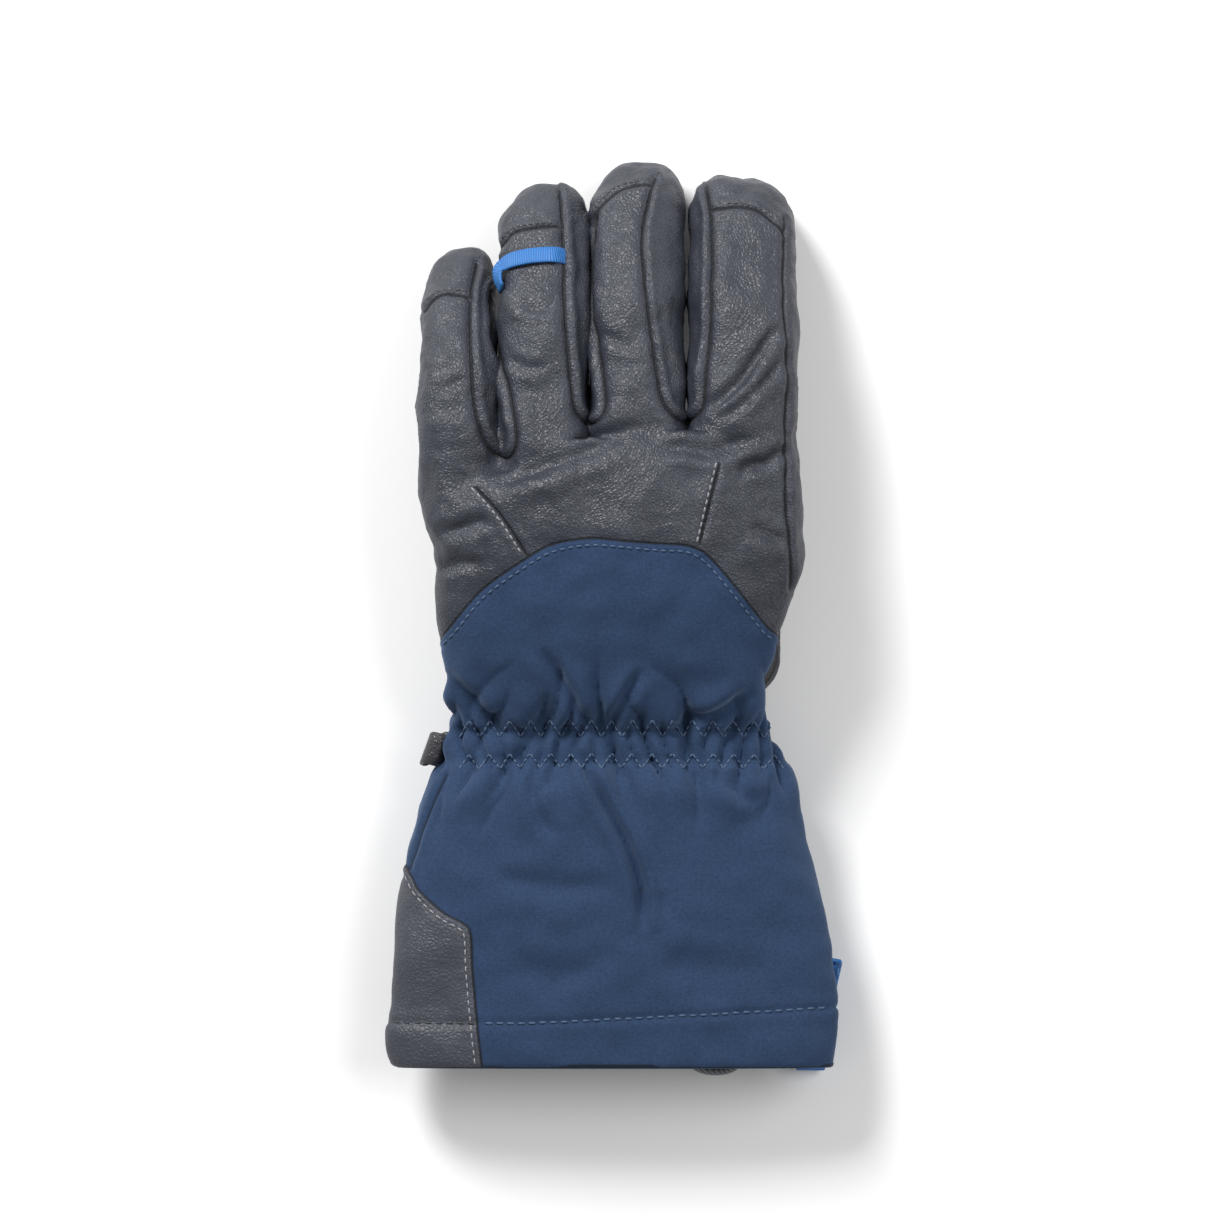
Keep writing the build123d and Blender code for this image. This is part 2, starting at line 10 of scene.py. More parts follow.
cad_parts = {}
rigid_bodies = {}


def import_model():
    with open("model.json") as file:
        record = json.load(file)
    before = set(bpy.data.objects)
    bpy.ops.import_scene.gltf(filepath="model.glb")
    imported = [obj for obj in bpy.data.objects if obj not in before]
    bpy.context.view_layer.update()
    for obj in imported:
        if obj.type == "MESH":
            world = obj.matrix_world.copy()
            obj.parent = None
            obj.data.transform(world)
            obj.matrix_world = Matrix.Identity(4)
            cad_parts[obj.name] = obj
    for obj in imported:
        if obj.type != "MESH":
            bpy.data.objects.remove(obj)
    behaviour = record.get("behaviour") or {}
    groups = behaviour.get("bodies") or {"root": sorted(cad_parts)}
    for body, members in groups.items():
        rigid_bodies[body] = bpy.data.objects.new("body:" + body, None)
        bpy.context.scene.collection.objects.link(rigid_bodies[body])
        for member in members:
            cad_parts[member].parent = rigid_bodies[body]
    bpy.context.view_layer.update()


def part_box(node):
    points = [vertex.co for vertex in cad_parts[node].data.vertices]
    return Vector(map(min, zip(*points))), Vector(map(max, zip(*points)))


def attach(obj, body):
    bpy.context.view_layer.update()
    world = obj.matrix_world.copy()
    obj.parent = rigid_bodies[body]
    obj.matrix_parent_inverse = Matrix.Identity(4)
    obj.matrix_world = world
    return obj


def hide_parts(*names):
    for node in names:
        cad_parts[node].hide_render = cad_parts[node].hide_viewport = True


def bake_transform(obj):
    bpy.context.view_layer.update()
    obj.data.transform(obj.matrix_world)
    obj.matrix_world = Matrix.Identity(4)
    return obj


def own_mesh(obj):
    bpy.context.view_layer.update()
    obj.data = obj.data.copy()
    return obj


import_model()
bpy.ops.object.select_all(action="DESELECT")
mm = 0.001

# ---------------- camera, light and floor
# The glove lies palm down on a plain white sheet under a large soft light from the fingers' side.
# It is seen from straight above through a long lens.
middle_y = (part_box("hem_band")[0][1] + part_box("middle_tip_cap")[1][1]) / 2
bpy.ops.object.camera_add(location=(0.0, middle_y, 3.2), rotation=(0, 0, 0))
camera = bpy.context.object
camera.data.type = "PERSP"
camera.data.lens_unit = "FOV"
camera.data.angle = 2 * math.atan(0.2115 / 3.17)
camera.data.clip_end = 20
bpy.context.scene.camera = camera

bpy.ops.mesh.primitive_plane_add(size=6, location=(0, 0, 0))
floor = bpy.context.object
floor.name = "floor"
floor_finish = bpy.data.materials.new("white_sheet")
floor_finish.use_nodes = True
floor_finish.node_tree.nodes["Principled BSDF"].inputs["Base Color"].default_value = (0.86, 0.86, 0.86, 1)
floor_finish.node_tree.nodes["Principled BSDF"].inputs["Roughness"].default_value = 0.8
floor.data.materials.append(floor_finish)

world = bpy.data.worlds.new("soft_room")
world.use_nodes = True
world.node_tree.nodes["Background"].inputs["Color"].default_value = (1, 1, 1, 1)
world.node_tree.nodes["Background"].inputs["Strength"].default_value = 0.38
bpy.context.scene.world = world
for name, place, size, power in (
    ("key", (-0.75, 1.2, 1.1), 0.55, 40.0),
    ("fill", (1.0, 0.3, 1.3), 1.0, 14.0),
):
    bpy.ops.object.light_add(type="AREA", location=place)
    lamp = bpy.context.object
    lamp.name = name
    lamp.data.size = size
    lamp.data.energy = power
    lamp.rotation_euler = Vector(place).to_track_quat("Z", "Y").to_euler()
bpy.context.scene.view_settings.view_transform = "Standard"

# ---------------- form of the glove
# The padded shape under the skins: the gauntlet, wrist and hand are one flattened sleeve and the
# four stalls grow out of its front. Each station gives a place along the glove and the section's
# left, right, lowest and highest side there, in millimetres.
sleeve_stations = [
    (-161.5, -73.2, 75.4, 8.5, 35.0),
    (-156.5, -75.4, 76.4, 8.5, 35.6),
    (-151.5, -77.6, 77.4, 8.5, 36.2),
    (-138.0, -76.8, 77.4, 8.5, 37.0),
    (-118.0, -75.2, 75.6, 8.0, 38.5),
    (-100.0, -73.0, 72.4, 2.2, 40.0),
    (-84.0, -70.6, 68.6, 0.6, 41.0),
    (-70.0, -67.2, 65.6, 1.2, 41.0),
    (-60.0, -63.6, 62.6, 3.5, 39.5),
    (-53.0, -60.6, 59.6, 6.0, 37.0),
    (-45.0, -57.2, 56.6, 8.0, 36.0),
    (-37.0, -56.0, 53.8, 11.5, 38.0),
    (-29.0, -56.0, 52.4, 19.0, 44.5),
    (-20.0, -57.6, 54.0, 24.5, 50.0),
    (-10.0, -60.0, 57.0, 25.0, 54.0),
    (4.0, -61.8, 61.0, 25.0, 58.0),
    (18.0, -61.2, 65.2, 25.0, 60.5),
    (32.0, -64.0, 65.2, 25.0, 62.5),
    (46.0, -66.4, 64.4, 25.5, 60.5),
    (57.0, -66.0, 63.4, 27.5, 56.0),
]

# Stalls: centre, half width at the root and near the tip, half thickness, middle knuckle and tip,
# how far the stall is set aside while the skins are fused, so that neighbours stay apart, and how
# far its tip leans towards the index finger.
stalls = {
    "pinky": (-53.3, 14.2, 13.0, 13.6, 88.5, 127.2, -9.0, 5.0),
    "ring": (-23.9, 15.8, 15.5, 14.6, 101.0, 149.6, -3.0, 6.0),
    "middle": (8.5, 16.7, 16.4, 15.2, 106.0, 157.6, 3.0, 3.5),
    "index": (44.4, 19.2, 18.4, 15.2, 103.0, 153.0, 9.0, -1.5),
}
root_z, knuckle_z, tip_z = 41.5, 35.5, 9.0
aside_start, aside_end = 58.0, 84.0
tip_round = 19.0


def smooth_step(x, start, end):
    t = np.clip((x - start) / (end - start), 0, 1)
    return t * t * (3 - 2 * t)


def bell(x, middle, width):
    """1 at the middle, falling off to either side."""
    return np.exp(-((x - middle) / width) ** 2)


def stall_stations(centre, half_root, half_tip, half_thick, knuckle, tip, aside, lean):
    stations = []
    rounding = tip - tip_round * np.cos(np.linspace(0, 1.5, 12))
    for y in np.concatenate([np.arange(34.0, tip - tip_round, 4.0), rounding]):
        t = np.clip((y - 66) / (knuckle - 66), 0, 1)
        u = np.clip((y - knuckle) / (tip - knuckle), 0, 1)
        middle = root_z + (knuckle_z - root_z) * t + (tip_z - knuckle_z) * u ** 1.15
        end = max(1 - max((y - tip + tip_round) / tip_round, 0) ** 2.3, 0.0) ** 0.5
        swell = 0.80 + 0.20 * float(smooth_step(y, 34.0, 56.0))
        blunt = max(end, 0.18)
        wide = (half_root + (half_tip - half_root) * smooth_step(y, knuckle - 20, tip - 8)) * blunt * swell
        tall = (half_thick - 2.0 * u) * blunt
        place = centre + aside * float(smooth_step(y, aside_start, aside_end)) + lean * (1 - end)
        stations.append((float(y), place - wide, place + wide, middle - tall, middle + tall))
    return stations


def ring(station, count=72, power=2.5, tilt=0.0):
    y, left, right, low, high = station
    turn = np.linspace(0, 2 * math.pi, count, endpoint=False)
    c, s = np.cos(turn), np.sin(turn)
    x = (left + right) / 2 + (right - left) / 2 * np.sign(c) * np.abs(c) ** (2 / power)
    z = (low + high) / 2 + (high - low) / 2 * np.sign(s) * np.abs(s) ** (2 / power)
    return np.stack([x, np.full(count, y), z + tilt * x], axis=1)


def new_piece(name, points, faces):
    """A mesh object from points in metres."""
    mesh = bpy.data.meshes.new(name)
    mesh.from_pydata([tuple(p) for p in points], [], faces)
    piece = bpy.data.objects.new(name, mesh)
    bpy.context.collection.objects.link(piece)
    return piece


def closed_tube(name, rings):
    """A tube through rings of points, closed by a fan at each end."""
    count = len(rings[0])
    points = np.concatenate(rings + [end.mean(axis=0, keepdims=True) for end in (rings[0], rings[-1])])
    faces = []
    for row in range(len(rings) - 1):
        for i in range(count):
            j = (i + 1) % count
            faces.append((row * count + i, row * count + j, (row + 1) * count + j, (row + 1) * count + i))
    start, end = len(points) - 2, len(points) - 1
    last = (len(rings) - 1) * count
    for i in range(count):
        j = (i + 1) % count
        faces.append((start, j, i))
        faces.append((end, last + i, last + j))
    return new_piece(name, points * mm, faces)


def smooth_stations(stations, step=3.0):
    """Stations at an even step on a smooth curve through the given ones."""
    table = np.array(stations)
    places = np.arange(table[0, 0], table[-1, 0] + 0.1, step)
    slopes = np.gradient(table[:, 1:], table[:, 0], axis=0)
    rows = []
    for y in places:
        i = int(np.clip(np.searchsorted(table[:, 0], y, side="right") - 1, 0, len(table) - 2))
        gap = table[i + 1, 0] - table[i, 0]
        t = (y - table[i, 0]) / gap
        h = (2 * t ** 3 - 3 * t ** 2 + 1, t ** 3 - 2 * t ** 2 + t, -2 * t ** 3 + 3 * t ** 2, t ** 3 - t ** 2)
        row = h[0] * table[i, 1:] + h[1] * gap * slopes[i]
        row = row + h[2] * table[i + 1, 1:] + h[3] * gap * slopes[i + 1]
        rows.append((float(y), *row))
    return rows


def modify(piece, kind, **values):
    bpy.ops.object.select_all(action="DESELECT")
    piece.select_set(True)
    bpy.context.view_layer.objects.active = piece
    modifier = piece.modifiers.new(kind.lower(), kind)
    for key, value in values.items():
        setattr(modifier, key, value)
    bpy.ops.object.modifier_apply(modifier=modifier.name)


def slant_front(points):
    """The hand's front edge stands back at the little finger, where the stalls part lower down."""
    reach = np.interp(points[:, 0], (-40.0, -30.0, -10.0, 64.0), (-7.0, -3.0, 6.0, 8.0))
    points[:, 1] += reach * smooth_step(points[:, 1], 30.0, 57.0)
    return points


tubes = [closed_tube("sleeve", [slant_front(ring(s, count=120)) for s in smooth_stations(sleeve_stations)])]
for name, sizes in stalls.items():
    tubes.append(closed_tube(name, [ring(s, power=2.35) for s in stall_stations(*sizes)]))
bpy.ops.object.select_all(action="DESELECT")
for tube in tubes:
    tube.select_set(True)
bpy.context.view_layer.objects.active = tubes[0]
bpy.ops.object.join()
form = bpy.context.object
form.name = "glove_form"
modify(form, "REMESH", mode="VOXEL", voxel_size=1.15 * mm)
modify(form, "SMOOTH", factor=0.5, iterations=8)


def points_of(piece):
    flat = np.empty(len(piece.data.vertices) * 3)
    piece.data.vertices.foreach_get("co", flat)
    return flat.reshape(-1, 3) / mm


def normals_of(piece):
    flat = np.empty(len(piece.data.vertices) * 3)
    piece.data.vertex_normals.foreach_get("vector", flat)
    return flat.reshape(-1, 3)


def set_points(piece, points):
    piece.data.vertices.foreach_set("co", (points * mm).ravel())
    piece.data.update()


def reshape(piece, change):
    """Run a change on a piece's mesh."""
    sheet = bmesh.new()
    sheet.from_mesh(piece.data)
    sheet.verts.ensure_lookup_table()
    change(sheet)
    sheet.to_mesh(piece.data)
    sheet.free()


def bisect_at(sheet, y, clear_behind=False):
    bmesh.ops.bisect_plane(sheet, geom=sheet.verts[:] + sheet.edges[:] + sheet.faces[:], dist=1e-6,
                           plane_co=(0, y * mm, 0), plane_no=(0, 1, 0), clear_inner=clear_behind)


def cut_along(sheet, field, low_y=-1e3, high_y=1e3):
    """Cut a mesh's faces where a field over its points is zero, so that a panel can end there."""
    sheet.verts.ensure_lookup_table()
    where = np.array([v.co for v in sheet.verts]) / mm
    values = field(where)
    values[(where[:, 1] < low_y) | (where[:, 1] > high_y)] = 1e3
    values[np.abs(values) < 0.06] = 0.0
    level = {v: values[i] for i, v in enumerate(sheet.verts)}
    crossing = [e for e in sheet.edges if level[e.verts[0]] * level[e.verts[1]] < 0
                and abs(level[e.verts[0]]) < 50 and abs(level[e.verts[1]]) < 50]
    on_line = {v for v in sheet.verts if level[v] == 0.0}
    for edge in crossing:
        first = edge.verts[0]
        a, b = level[first], level[edge.verts[1]]
        new_point = bmesh.utils.edge_split(edge, first, a / (a - b))[1]
        on_line.add(new_point)
    sheet.faces.index_update()
    for face in sorted({f for v in on_line for f in v.link_faces}, key=lambda f: f.index):
        ends = [v for v in face.verts if v in on_line]
        if len(ends) == 2 and not any(set(e.verts) == set(ends) for e in face.edges):
            bmesh.utils.face_split(face, ends[0], ends[1])


def smooth_line(points, steps=8):
    """A smooth line through given points."""
    p = np.array([points[0], *points, points[-1]], dtype=float)
    line = []
    for i in range(len(points) - 1):
        for t in np.linspace(0, 1, steps, endpoint=False):
            line.append(0.5 * (2 * p[i + 1] + (p[i + 2] - p[i]) * t
                        + (2 * p[i] - 5 * p[i + 1] + 4 * p[i + 2] - p[i + 3]) * t * t
                        + (3 * p[i + 1] - p[i] - 3 * p[i + 2] + p[i + 3]) * t ** 3))
    line.append(p[-1])
    return np.array(line)


def line_distance(where, line, reach=9.0):
    """Signed distance in plan to a line, left of it positive, and the share of its length there."""
    signed, along = np.full(len(where), 99.0), np.zeros(len(where))
    low, high = line.min(axis=0) - reach, line.max(axis=0) + reach
    near = np.where(((where[:, :2] > low) & (where[:, :2] < high)).all(axis=1))[0]
    spot = where[near, :2]
    best, sign, share = np.full(len(near), 1e9), np.ones(len(near)), np.zeros(len(near))
    lengths = np.linalg.norm(np.diff(line, axis=0), axis=1)
    starts = np.concatenate([[0], np.cumsum(lengths)])
    for i, length in enumerate(lengths):
        run = line[i + 1] - line[i]
        t = np.clip(((spot - line[i]) @ run) / length ** 2, 0, 1)
        off = spot - (line[i] + t[:, None] * run)
        d = np.linalg.norm(off, axis=1)
        closer = d < best
        best[closer] = d[closer]
        sign[closer] = np.where((run[0] * off[:, 1] - run[1] * off[:, 0])[closer] >= 0, 1, -1)
        share[closer] = (starts[i] + t[closer] * length) / starts[-1]
    signed[near] = best * sign
    along[near] = share
    return signed, along


# Plan of the panels' edges and seams, in millimetres.
arch_line = smooth_line([(-72, -26), (-60.7, -10.4), (-55.4, -4.7), (-45, 7.6), (-29, 18.9), (-20.5, 23.2),
                         (-6.9, 25.3), (14.3, 23.6), (26.9, 22.6), (35.4, 16.4), (52.3, -4.2), (57.3, -8.6),
                         (70, -24)])
patch_line = smooth_line([(-84, -78), (-72, -86), (-66.5, -95.5), (-58.5, -103), (-51.5, -106.8),
                          (-48.9, -110.5), (-48.2, -124), (-46.6, -142), (-44.9, -158), (-44.5, -170)])
seam_lines = {
    "pinky_ring": [(-46.9, 121), (-48.8, 110), (-49, 97.6), (-48, 76), (-44.6, 62), (-41, 55.6),
                   (-36.9, 52.8), (-33.6, 56.4), (-33.4, 64), (-37, 80.7), (-41.1, 95), (-41.4, 112)],
    "ring_middle": [(-18.6, 146), (-17.4, 134.5), (-16.2, 100), (-13.4, 74), (-11, 67.4), (-7.3, 64.6),
                    (-3.6, 67.6), (-3.3, 76), (-6.4, 98), (-7.6, 118), (-6.6, 136)],
    "middle_index": [(14.6, 150), (12.4, 143), (10, 129.3), (11.2, 111.3), (15.9, 78), (19.4, 68.6),
                     (24.8, 65.6), (30.2, 70), (31.6, 80), (33.3, 101.9), (34, 129.3), (32.3, 147)],
    "index_side": [(58.8, 136), (58.9, 118), (58.7, 101.9), (59.6, 80), (59.7, 62), (58.9, 45), (60.6, 24),
                   (61.0, 8)],
    "pinky_cap": [(-66, 104), (-63.3, 107.3), (-58.6, 110), (-52, 109.8), (-48.8, 108.7)],
    "ring_cap": [(-40.6, 124), (-37.4, 128.4), (-34.3, 131.4), (-27.9, 133), (-18.4, 133.2)],
    "middle_cap": [(-7.4, 134), (-5.2, 139.3), (0.6, 145.4), (6.6, 147.6), (12.7, 147.7)],
    "index_cap": [(33.8, 139.6), (42.8, 140.2), (51.3, 137.7), (58.6, 130.8)],
    "gauntlet_side": [(-57.0, -56), (-60.5, -63), (-64.5, -72), (-68.6, -84), (-69.6, -88)],
    "left_dart": [(-47.5, 43.7), (-38.6, 33.6), (-29.4, 19.6)],
    "right_dart": [(36.5, 51.1), (33.2, 38), (29.6, 23)],
}
seam_lines = {name: smooth_line(points) for name, points in seam_lines.items()}


def arch_field(where):
    """Positive on leather: in front of the arch on the back, in front of the wrist on the palm."""
    edge = np.interp(where[:, 0], arch_line[:, 0], arch_line[:, 1])
    turn = smooth_step(where[:, 2], 22.0, 34.0)
    return where[:, 1] - (edge * turn - 34.0 * (1 - turn))


def patch_field(where):
    """Positive inside the leather corner, which ends at a seam low on the side."""
    inside, along = line_distance(where, patch_line, reach=60)
    inside = np.where(np.abs(inside) > 90, -50.0, -inside)
    return np.minimum(inside, where[:, 2] - 6.0)


def palm_field(where):
    """Positive inside the rounded patch that is sewn on the palm."""
    off = np.abs(where[:, :2] - (-18.0, 14.0)) - (38.0 - 18.0, 30.0 - 18.0)
    outside = np.linalg.norm(np.maximum(off, 0), axis=1) + np.minimum(off.max(axis=1), 0) - 18.0
    return np.where(where[:, 2] < 30.0, -outside, -50.0)


# Where one skin ends and the next begins, from the rim to the stalls' tips.
rim_y, wrist_start, wrist_end, root_start, tip_start = -156.5, -62.0, -33.0, 62.0, 78.0
sheet = bmesh.new()
sheet.from_mesh(form.data)
for y in (rim_y, wrist_start, wrist_end, root_start, tip_start):
    bisect_at(sheet, y, clear_behind=(y == rim_y))
cut_along(sheet, arch_field, wrist_end, 40.0)
cut_along(sheet, patch_field, -200.0, wrist_start - 0.5)
cut_along(sheet, palm_field, -30.0, 60.0)

# Every face gets the panel that it belongs to.
panel_names = ["gauntlet_softshell", "gauntlet_patch", "wrist_skin", "hand_softshell", "hand_leather"]
panel_names += [f"{name}_root_skin" for name in stalls] + [f"{name}_tip_skin" for name in stalls]
panel_names += ["palm_patch"]
panel_layer = sheet.faces.layers.int.new("panel")
sheet.faces.ensure_lookup_table()
centres = np.array([f.calc_center_median() for f in sheet.faces]) / mm
on_leather = arch_field(centres) > 0
on_patch = patch_field(centres) > 0
on_palm_patch = palm_field(centres) > 0
ramp = smooth_step(centres[:, 1], aside_start, aside_end)
stall_centres = np.array([[sizes[0] + sizes[6] * r for sizes in stalls.values()] for r in ramp])
stall_number = np.abs(stall_centres - centres[:, :1]).argmin(axis=1)
on_hand = np.where(on_palm_patch, 13, np.where(on_leather, 4, 3))
panel = np.select([centres[:, 1] < end for end in (wrist_start, wrist_end, root_start, tip_start)],
                  [np.where(on_patch, 1, 0), 2, on_hand, 5 + stall_number], 9 + stall_number)
for face, number in zip(sheet.faces, panel):
    face[panel_layer] = int(number)
sheet.to_mesh(form.data)
sheet.free()

# The stalls go back beside each other.
place = points_of(form)
ramp = smooth_step(place[:, 1], aside_start, aside_end)
edges, shifts = [], []
for centre, half_root, *_, aside, lean in stalls.values():
    edges += [centre - half_root, centre + half_root]
    shifts += [aside, aside]
edges, shifts = np.array(edges), np.array(shifts)
back = np.zeros(len(place))
for level in np.linspace(0, 1, 41):
    near = np.abs(ramp - level) <= 0.0126
    back[near] = np.interp(place[near, 0], edges + shifts * level, shifts * level)
place[:, 0] -= back
set_points(form, place)

# ---------------- shape of the skins
# Seams roll and pinch, the gathered wrist puckers, leather and softshell crease where the glove has
# been bent. Everything is a movement of the skin along its own normal, in millimetres.
normals = normals_of(form)
upper = smooth_step(normals[:, 2], -0.35, 0.25)
move = np.zeros(len(place))
seam = np.full(len(place), 9.0)
seam_number = np.zeros(len(place), dtype=int)


def take_seam(signed, along=None):
    """Remember the nearest seam for the skins' finish, and whether a point lies beside it."""
    global seam, seam_number
    nearer = np.abs(signed) < np.abs(seam)
    beside = np.ones(len(signed), dtype=bool) if along is None else (along > 0.002) & (along < 0.998)
    seam = np.where(nearer, signed, seam)
    seam_number = np.where(nearer, np.where(beside, seam_number.max() + 1, -1), seam_number)


for name, line in seam_lines.items():
    signed, along = line_distance(place, line)
    flat = np.where(upper > 0.4, signed, 9.0)
    take_seam(flat, along)
    d = np.abs(signed)
    if name in ("pinky_ring", "ring_middle", "middle_index"):
        # The side strip inside the U is rolled up to a bead and the back panel swells beside it.
        bead = bell(signed, 2.1, 1.5) * 1.15
        swell = bell(signed, -4.0, 3.2) * 0.35
        move += upper * (bead * (signed > 0) + swell * (signed < 0) - 1.15 * bell(d, 0, 0.95))
    elif name.endswith("dart"):
        ends = np.clip(np.minimum(along, 1 - along) * 8, 0, 1)
        move += upper * ends * (0.35 * bell(d, 2.0, 1.3) - 0.75 * bell(d, 0, 0.9))
    else:
        ridge = 0.45 * bell(d, 1.8, 1.3)
        move += upper * (ridge - 0.8 * bell(d, 0, 0.9))

# The softshell is folded under along the arch and lies on the leather, the corner's leather lies on
# the softshell.
arch_here = (np.abs(arch_field(place)) < 12) & (place[:, 1] > wrist_end)
arch_plan, along = line_distance(place, arch_line, reach=14)
arch_plan = np.where(place[:, 2] > 30, arch_plan, 99.0)
take_seam(np.where((upper > 0.4) & arch_here, arch_plan, 9.0))
step = smooth_step(-arch_plan, -0.2, 1.0) * np.exp(-np.clip(-arch_plan, 0, 99) / 16)
move += np.where(np.abs(arch_plan) < 60, upper * (0.7 * step - 0.35 * bell(arch_plan, 0.5, 0.8)
                 - 0.35 * bell(arch_plan, -2.0, 0.7)), 0)
patch_signed = np.where(place[:, 1] < wrist_start, patch_field(place), -50.0)
take_seam(np.where(place[:, 1] < -70, patch_signed, 9.0))
move += 0.75 * smooth_step(patch_signed, -0.3, 0.9) - 0.35 * bell(patch_signed, 2.4, 0.7)

palm_signed = np.where((place[:, 1] > -30) & (place[:, 1] < 60), palm_field(place), -50.0)
take_seam(palm_signed)
move += 0.9 * smooth_step(palm_signed, -0.3, 0.9) - 0.35 * bell(palm_signed, 2.6, 0.7)

# Topstitched hem.
def hem_row(x):
    return -141.3 + 0.05 * np.maximum(x + 29.0, 0.0)


d = place[:, 1] - hem_row(place[:, 0])
hem_pucker = 0.18 * np.sin(2 * math.pi * (place[:, 0] + d * 1.2) / 3.7) * bell(d, 0, 2.2)
move += hem_pucker - 0.55 * bell(d, 0, 0.9) + 0.2 * bell(np.abs(d), 3, 2.0)
move += -0.9 * bell(place[:, 1], -157.2, 1.1)


def fold_wave(x, period):
    """Round bulges with narrow valleys between them, from -1 to 1."""
    return 2 * np.abs(np.sin(math.pi * x / period)) ** 0.6 - 1.2


def drift(where, size, seed, amount):
    """A slow wander of a coordinate, the same each time."""
    spots = [Vector((p[0] / size + seed, p[1] / size, p[2] / size)) for p in where]
    return amount * np.array([noise.noise(spot) for spot in spots])


# Gathers: fine puckers between the elastic's two rows, merging into longer folds on each side.
near_wrist = (place[:, 1] > -90) & (place[:, 1] < 0)
w = place[near_wrist]
elastic_y, half_elastic = -46.0, 6.5
off = w[:, 1] - elastic_y
outside = np.maximum(np.abs(off) - half_elastic, 0)
across = w[:, 0] + drift(w, 16.0, 3.1, 3.2)
fine = fold_wave(across + 0.35 * np.sin(w[:, 0] / 9.0) * off, 6.4) * np.exp(-(outside / 4.5) ** 1.6) * 1.7
lean = across + (0.45 * w[:, 0] / 60.0 + 0.35 * np.sin(w[:, 0] / 13.0 + 1.0)) * off
middle_folds = fold_wave(lean + 2.0, 14.6) * bell(outside, 4, 7.0) * 2.1
long_folds = fold_wave(lean + drift(w, 30.0, 9.7, 6.0), 27.0) * bell(outside, 10, 11.0) * 1.9
gather = fine + middle_folds + long_folds
gather -= 0.75 * (bell(w[:, 1], -40.4, 2.0) + bell(w[:, 1], -51.2, 2.0))
gather += 0.5 * bell(off, 0, 3.2) + 1.0 * bell(outside, 9, 7.0)
move[near_wrist] += gather

# Creases: a line, its depth, its half width and how much the skin swells beside it.
crease_gain = 1.45
creases = [
    ([(-41, 43.5), (-31, 47.5), (-20, 51), (-9, 55.5), (1, 60.5), (11, 63.4)], 1.3, 3.0, 0.7),
    ([(-60.5, 27), (-52, 29), (-42, 32.4)], 1.1, 2.2, 0.5),
    ([(31, 69.5), (38, 74), (44.5, 80.5), (50, 89), (57, 99)], 1.3, 1.8, 0.6),
    ([(35, 66), (42, 69.6), (50, 77), (58.4, 87)], 0.9, 1.6, 0.5),
    ([(42, 47), (47, 50.4), (53, 51.6), (60, 57.6)], 1.3, 2.0, 0.6),
    ([(14, 55.5), (24, 56.5), (33, 55.0), (42, 58.0), (52, 60.0)], 0.8, 2.2, 0.4),
    ([(-62, 14), (-52, 17), (-44, 16)], 0.7, 2.0, 0.4),
    ([(47, 30), (54, 26), (61, 25)], 0.8, 2.2, 0.4),
    ([(-60, 75), (-54, 79), (-50, 80)], 0.6, 1.6, 0.3),
    ([(-36, 88), (-30, 84), (-22, 85)], 0.6, 1.8, 0.35),
    ([(-34, 108), (-28, 104.5), (-20, 105)], 0.5, 1.6, 0.3),
    ([(-3, 96), (3, 92), (9, 93)], 0.5, 1.8, 0.3),
    ([(-11.5, -47.0), (-8.5, -56), (-2.5, -66.8), (4.8, -80.6), (9.6, -95), (10.4, -110)], 2.6, 1.8, 1.3),
    ([(-29, -57), (-26, -68), (-20.5, -77.5)], 1.1, 2.0, 0.5),
    ([(-24.5, -12), (-17.5, -24), (-9.8, -35), (-7.6, -42)], 1.5, 2.2, 0.8),
    ([(0.6, -41), (1.2, -33), (6, -25.5), (10, -19)], 1.2, 1.8, 0.6),
    ([(18, -42), (28, -36), (38, -31.5), (48, -25)], 1.5, 2.2, 0.8),
    ([(-57.5, -20), (-49, -29), (-41, -36.5), (-36, -43)], 1.4, 2.2, 0.7),
    ([(33, -56), (40, -60), (50, -66)], 1.0, 2.4, 0.5),
    ([(-45, -88), (-30, -93), (-14, -94.5), (2, -92)], 0.9, 4.0, 0.5),
    ([(-36, -121), (-20, -126), (-4, -120)], 0.7, 5.0, 0.4),
    ([(14, -118), (32, -124), (52, -122)], 0.6, 5.0, 0.3),
]
for points, depth, half, swell in creases:
    signed, along = line_distance(place, smooth_line(points), reach=4 * half)
    d = np.abs(signed)
    ends = np.clip(np.minimum(along, 1 - along) * 5, 0, 1) ** 0.8
    move += crease_gain * upper * ends * (swell * bell(d, 2.1 * half, 1.3 * half) - depth * bell(d, 0, half))

# Soft unevenness of padding and hide.
move += drift(place, 22.0, 1.7, 1.3) + drift(place, 9.5, 5.3, 0.8)
leatherish = smooth_step(place[:, 1], -10.0, 30.0)
move += leatherish * (drift(place, 3.6, 8.1, 0.35) + drift(place, 12.0, 2.2, 1.0))
place = place + normals * move[:, None]
place[:, 2] = np.maximum(place[:, 2], 0.15)
set_points(form, place)
whole_form = BVHTree.FromPolygons((place * mm).tolist(), [tuple(p.vertices) for p in form.data.polygons])

# ---------------- panels from the form
# Each panel keeps the form's normals, so that the stretches that ride on different bodies still
# read as one skin.
form_normals = normals_of(form)
face_panels = np.empty(len(form.data.polygons), dtype=np.int32)
form.data.attributes["panel"].data.foreach_get("value", face_panels)
form_faces = [tuple(p.vertices) for p in form.data.polygons]


def skin_piece(name, points, normals, faces, seams_of):
    """A stretch of a form as a piece of its own, with the distance from a seam at each corner."""
    used = sorted({v for face in faces for v in face})
    index = {v: i for i, v in enumerate(used)}
    piece = new_piece(name, points[used] * mm, [[index[v] for v in face] for face in faces])
    piece.data.shade_smooth()
    seam_values = piece.data.attributes.new("seam", "FLOAT", "CORNER")
    distances = np.clip(np.concatenate([seams_of(list(face)) for face in faces]), -8, 8)
    seam_values.data.foreach_set("value", distances.astype(np.float32))
    piece.data.normals_split_custom_set_from_vertices(normals[used].tolist())
    return piece


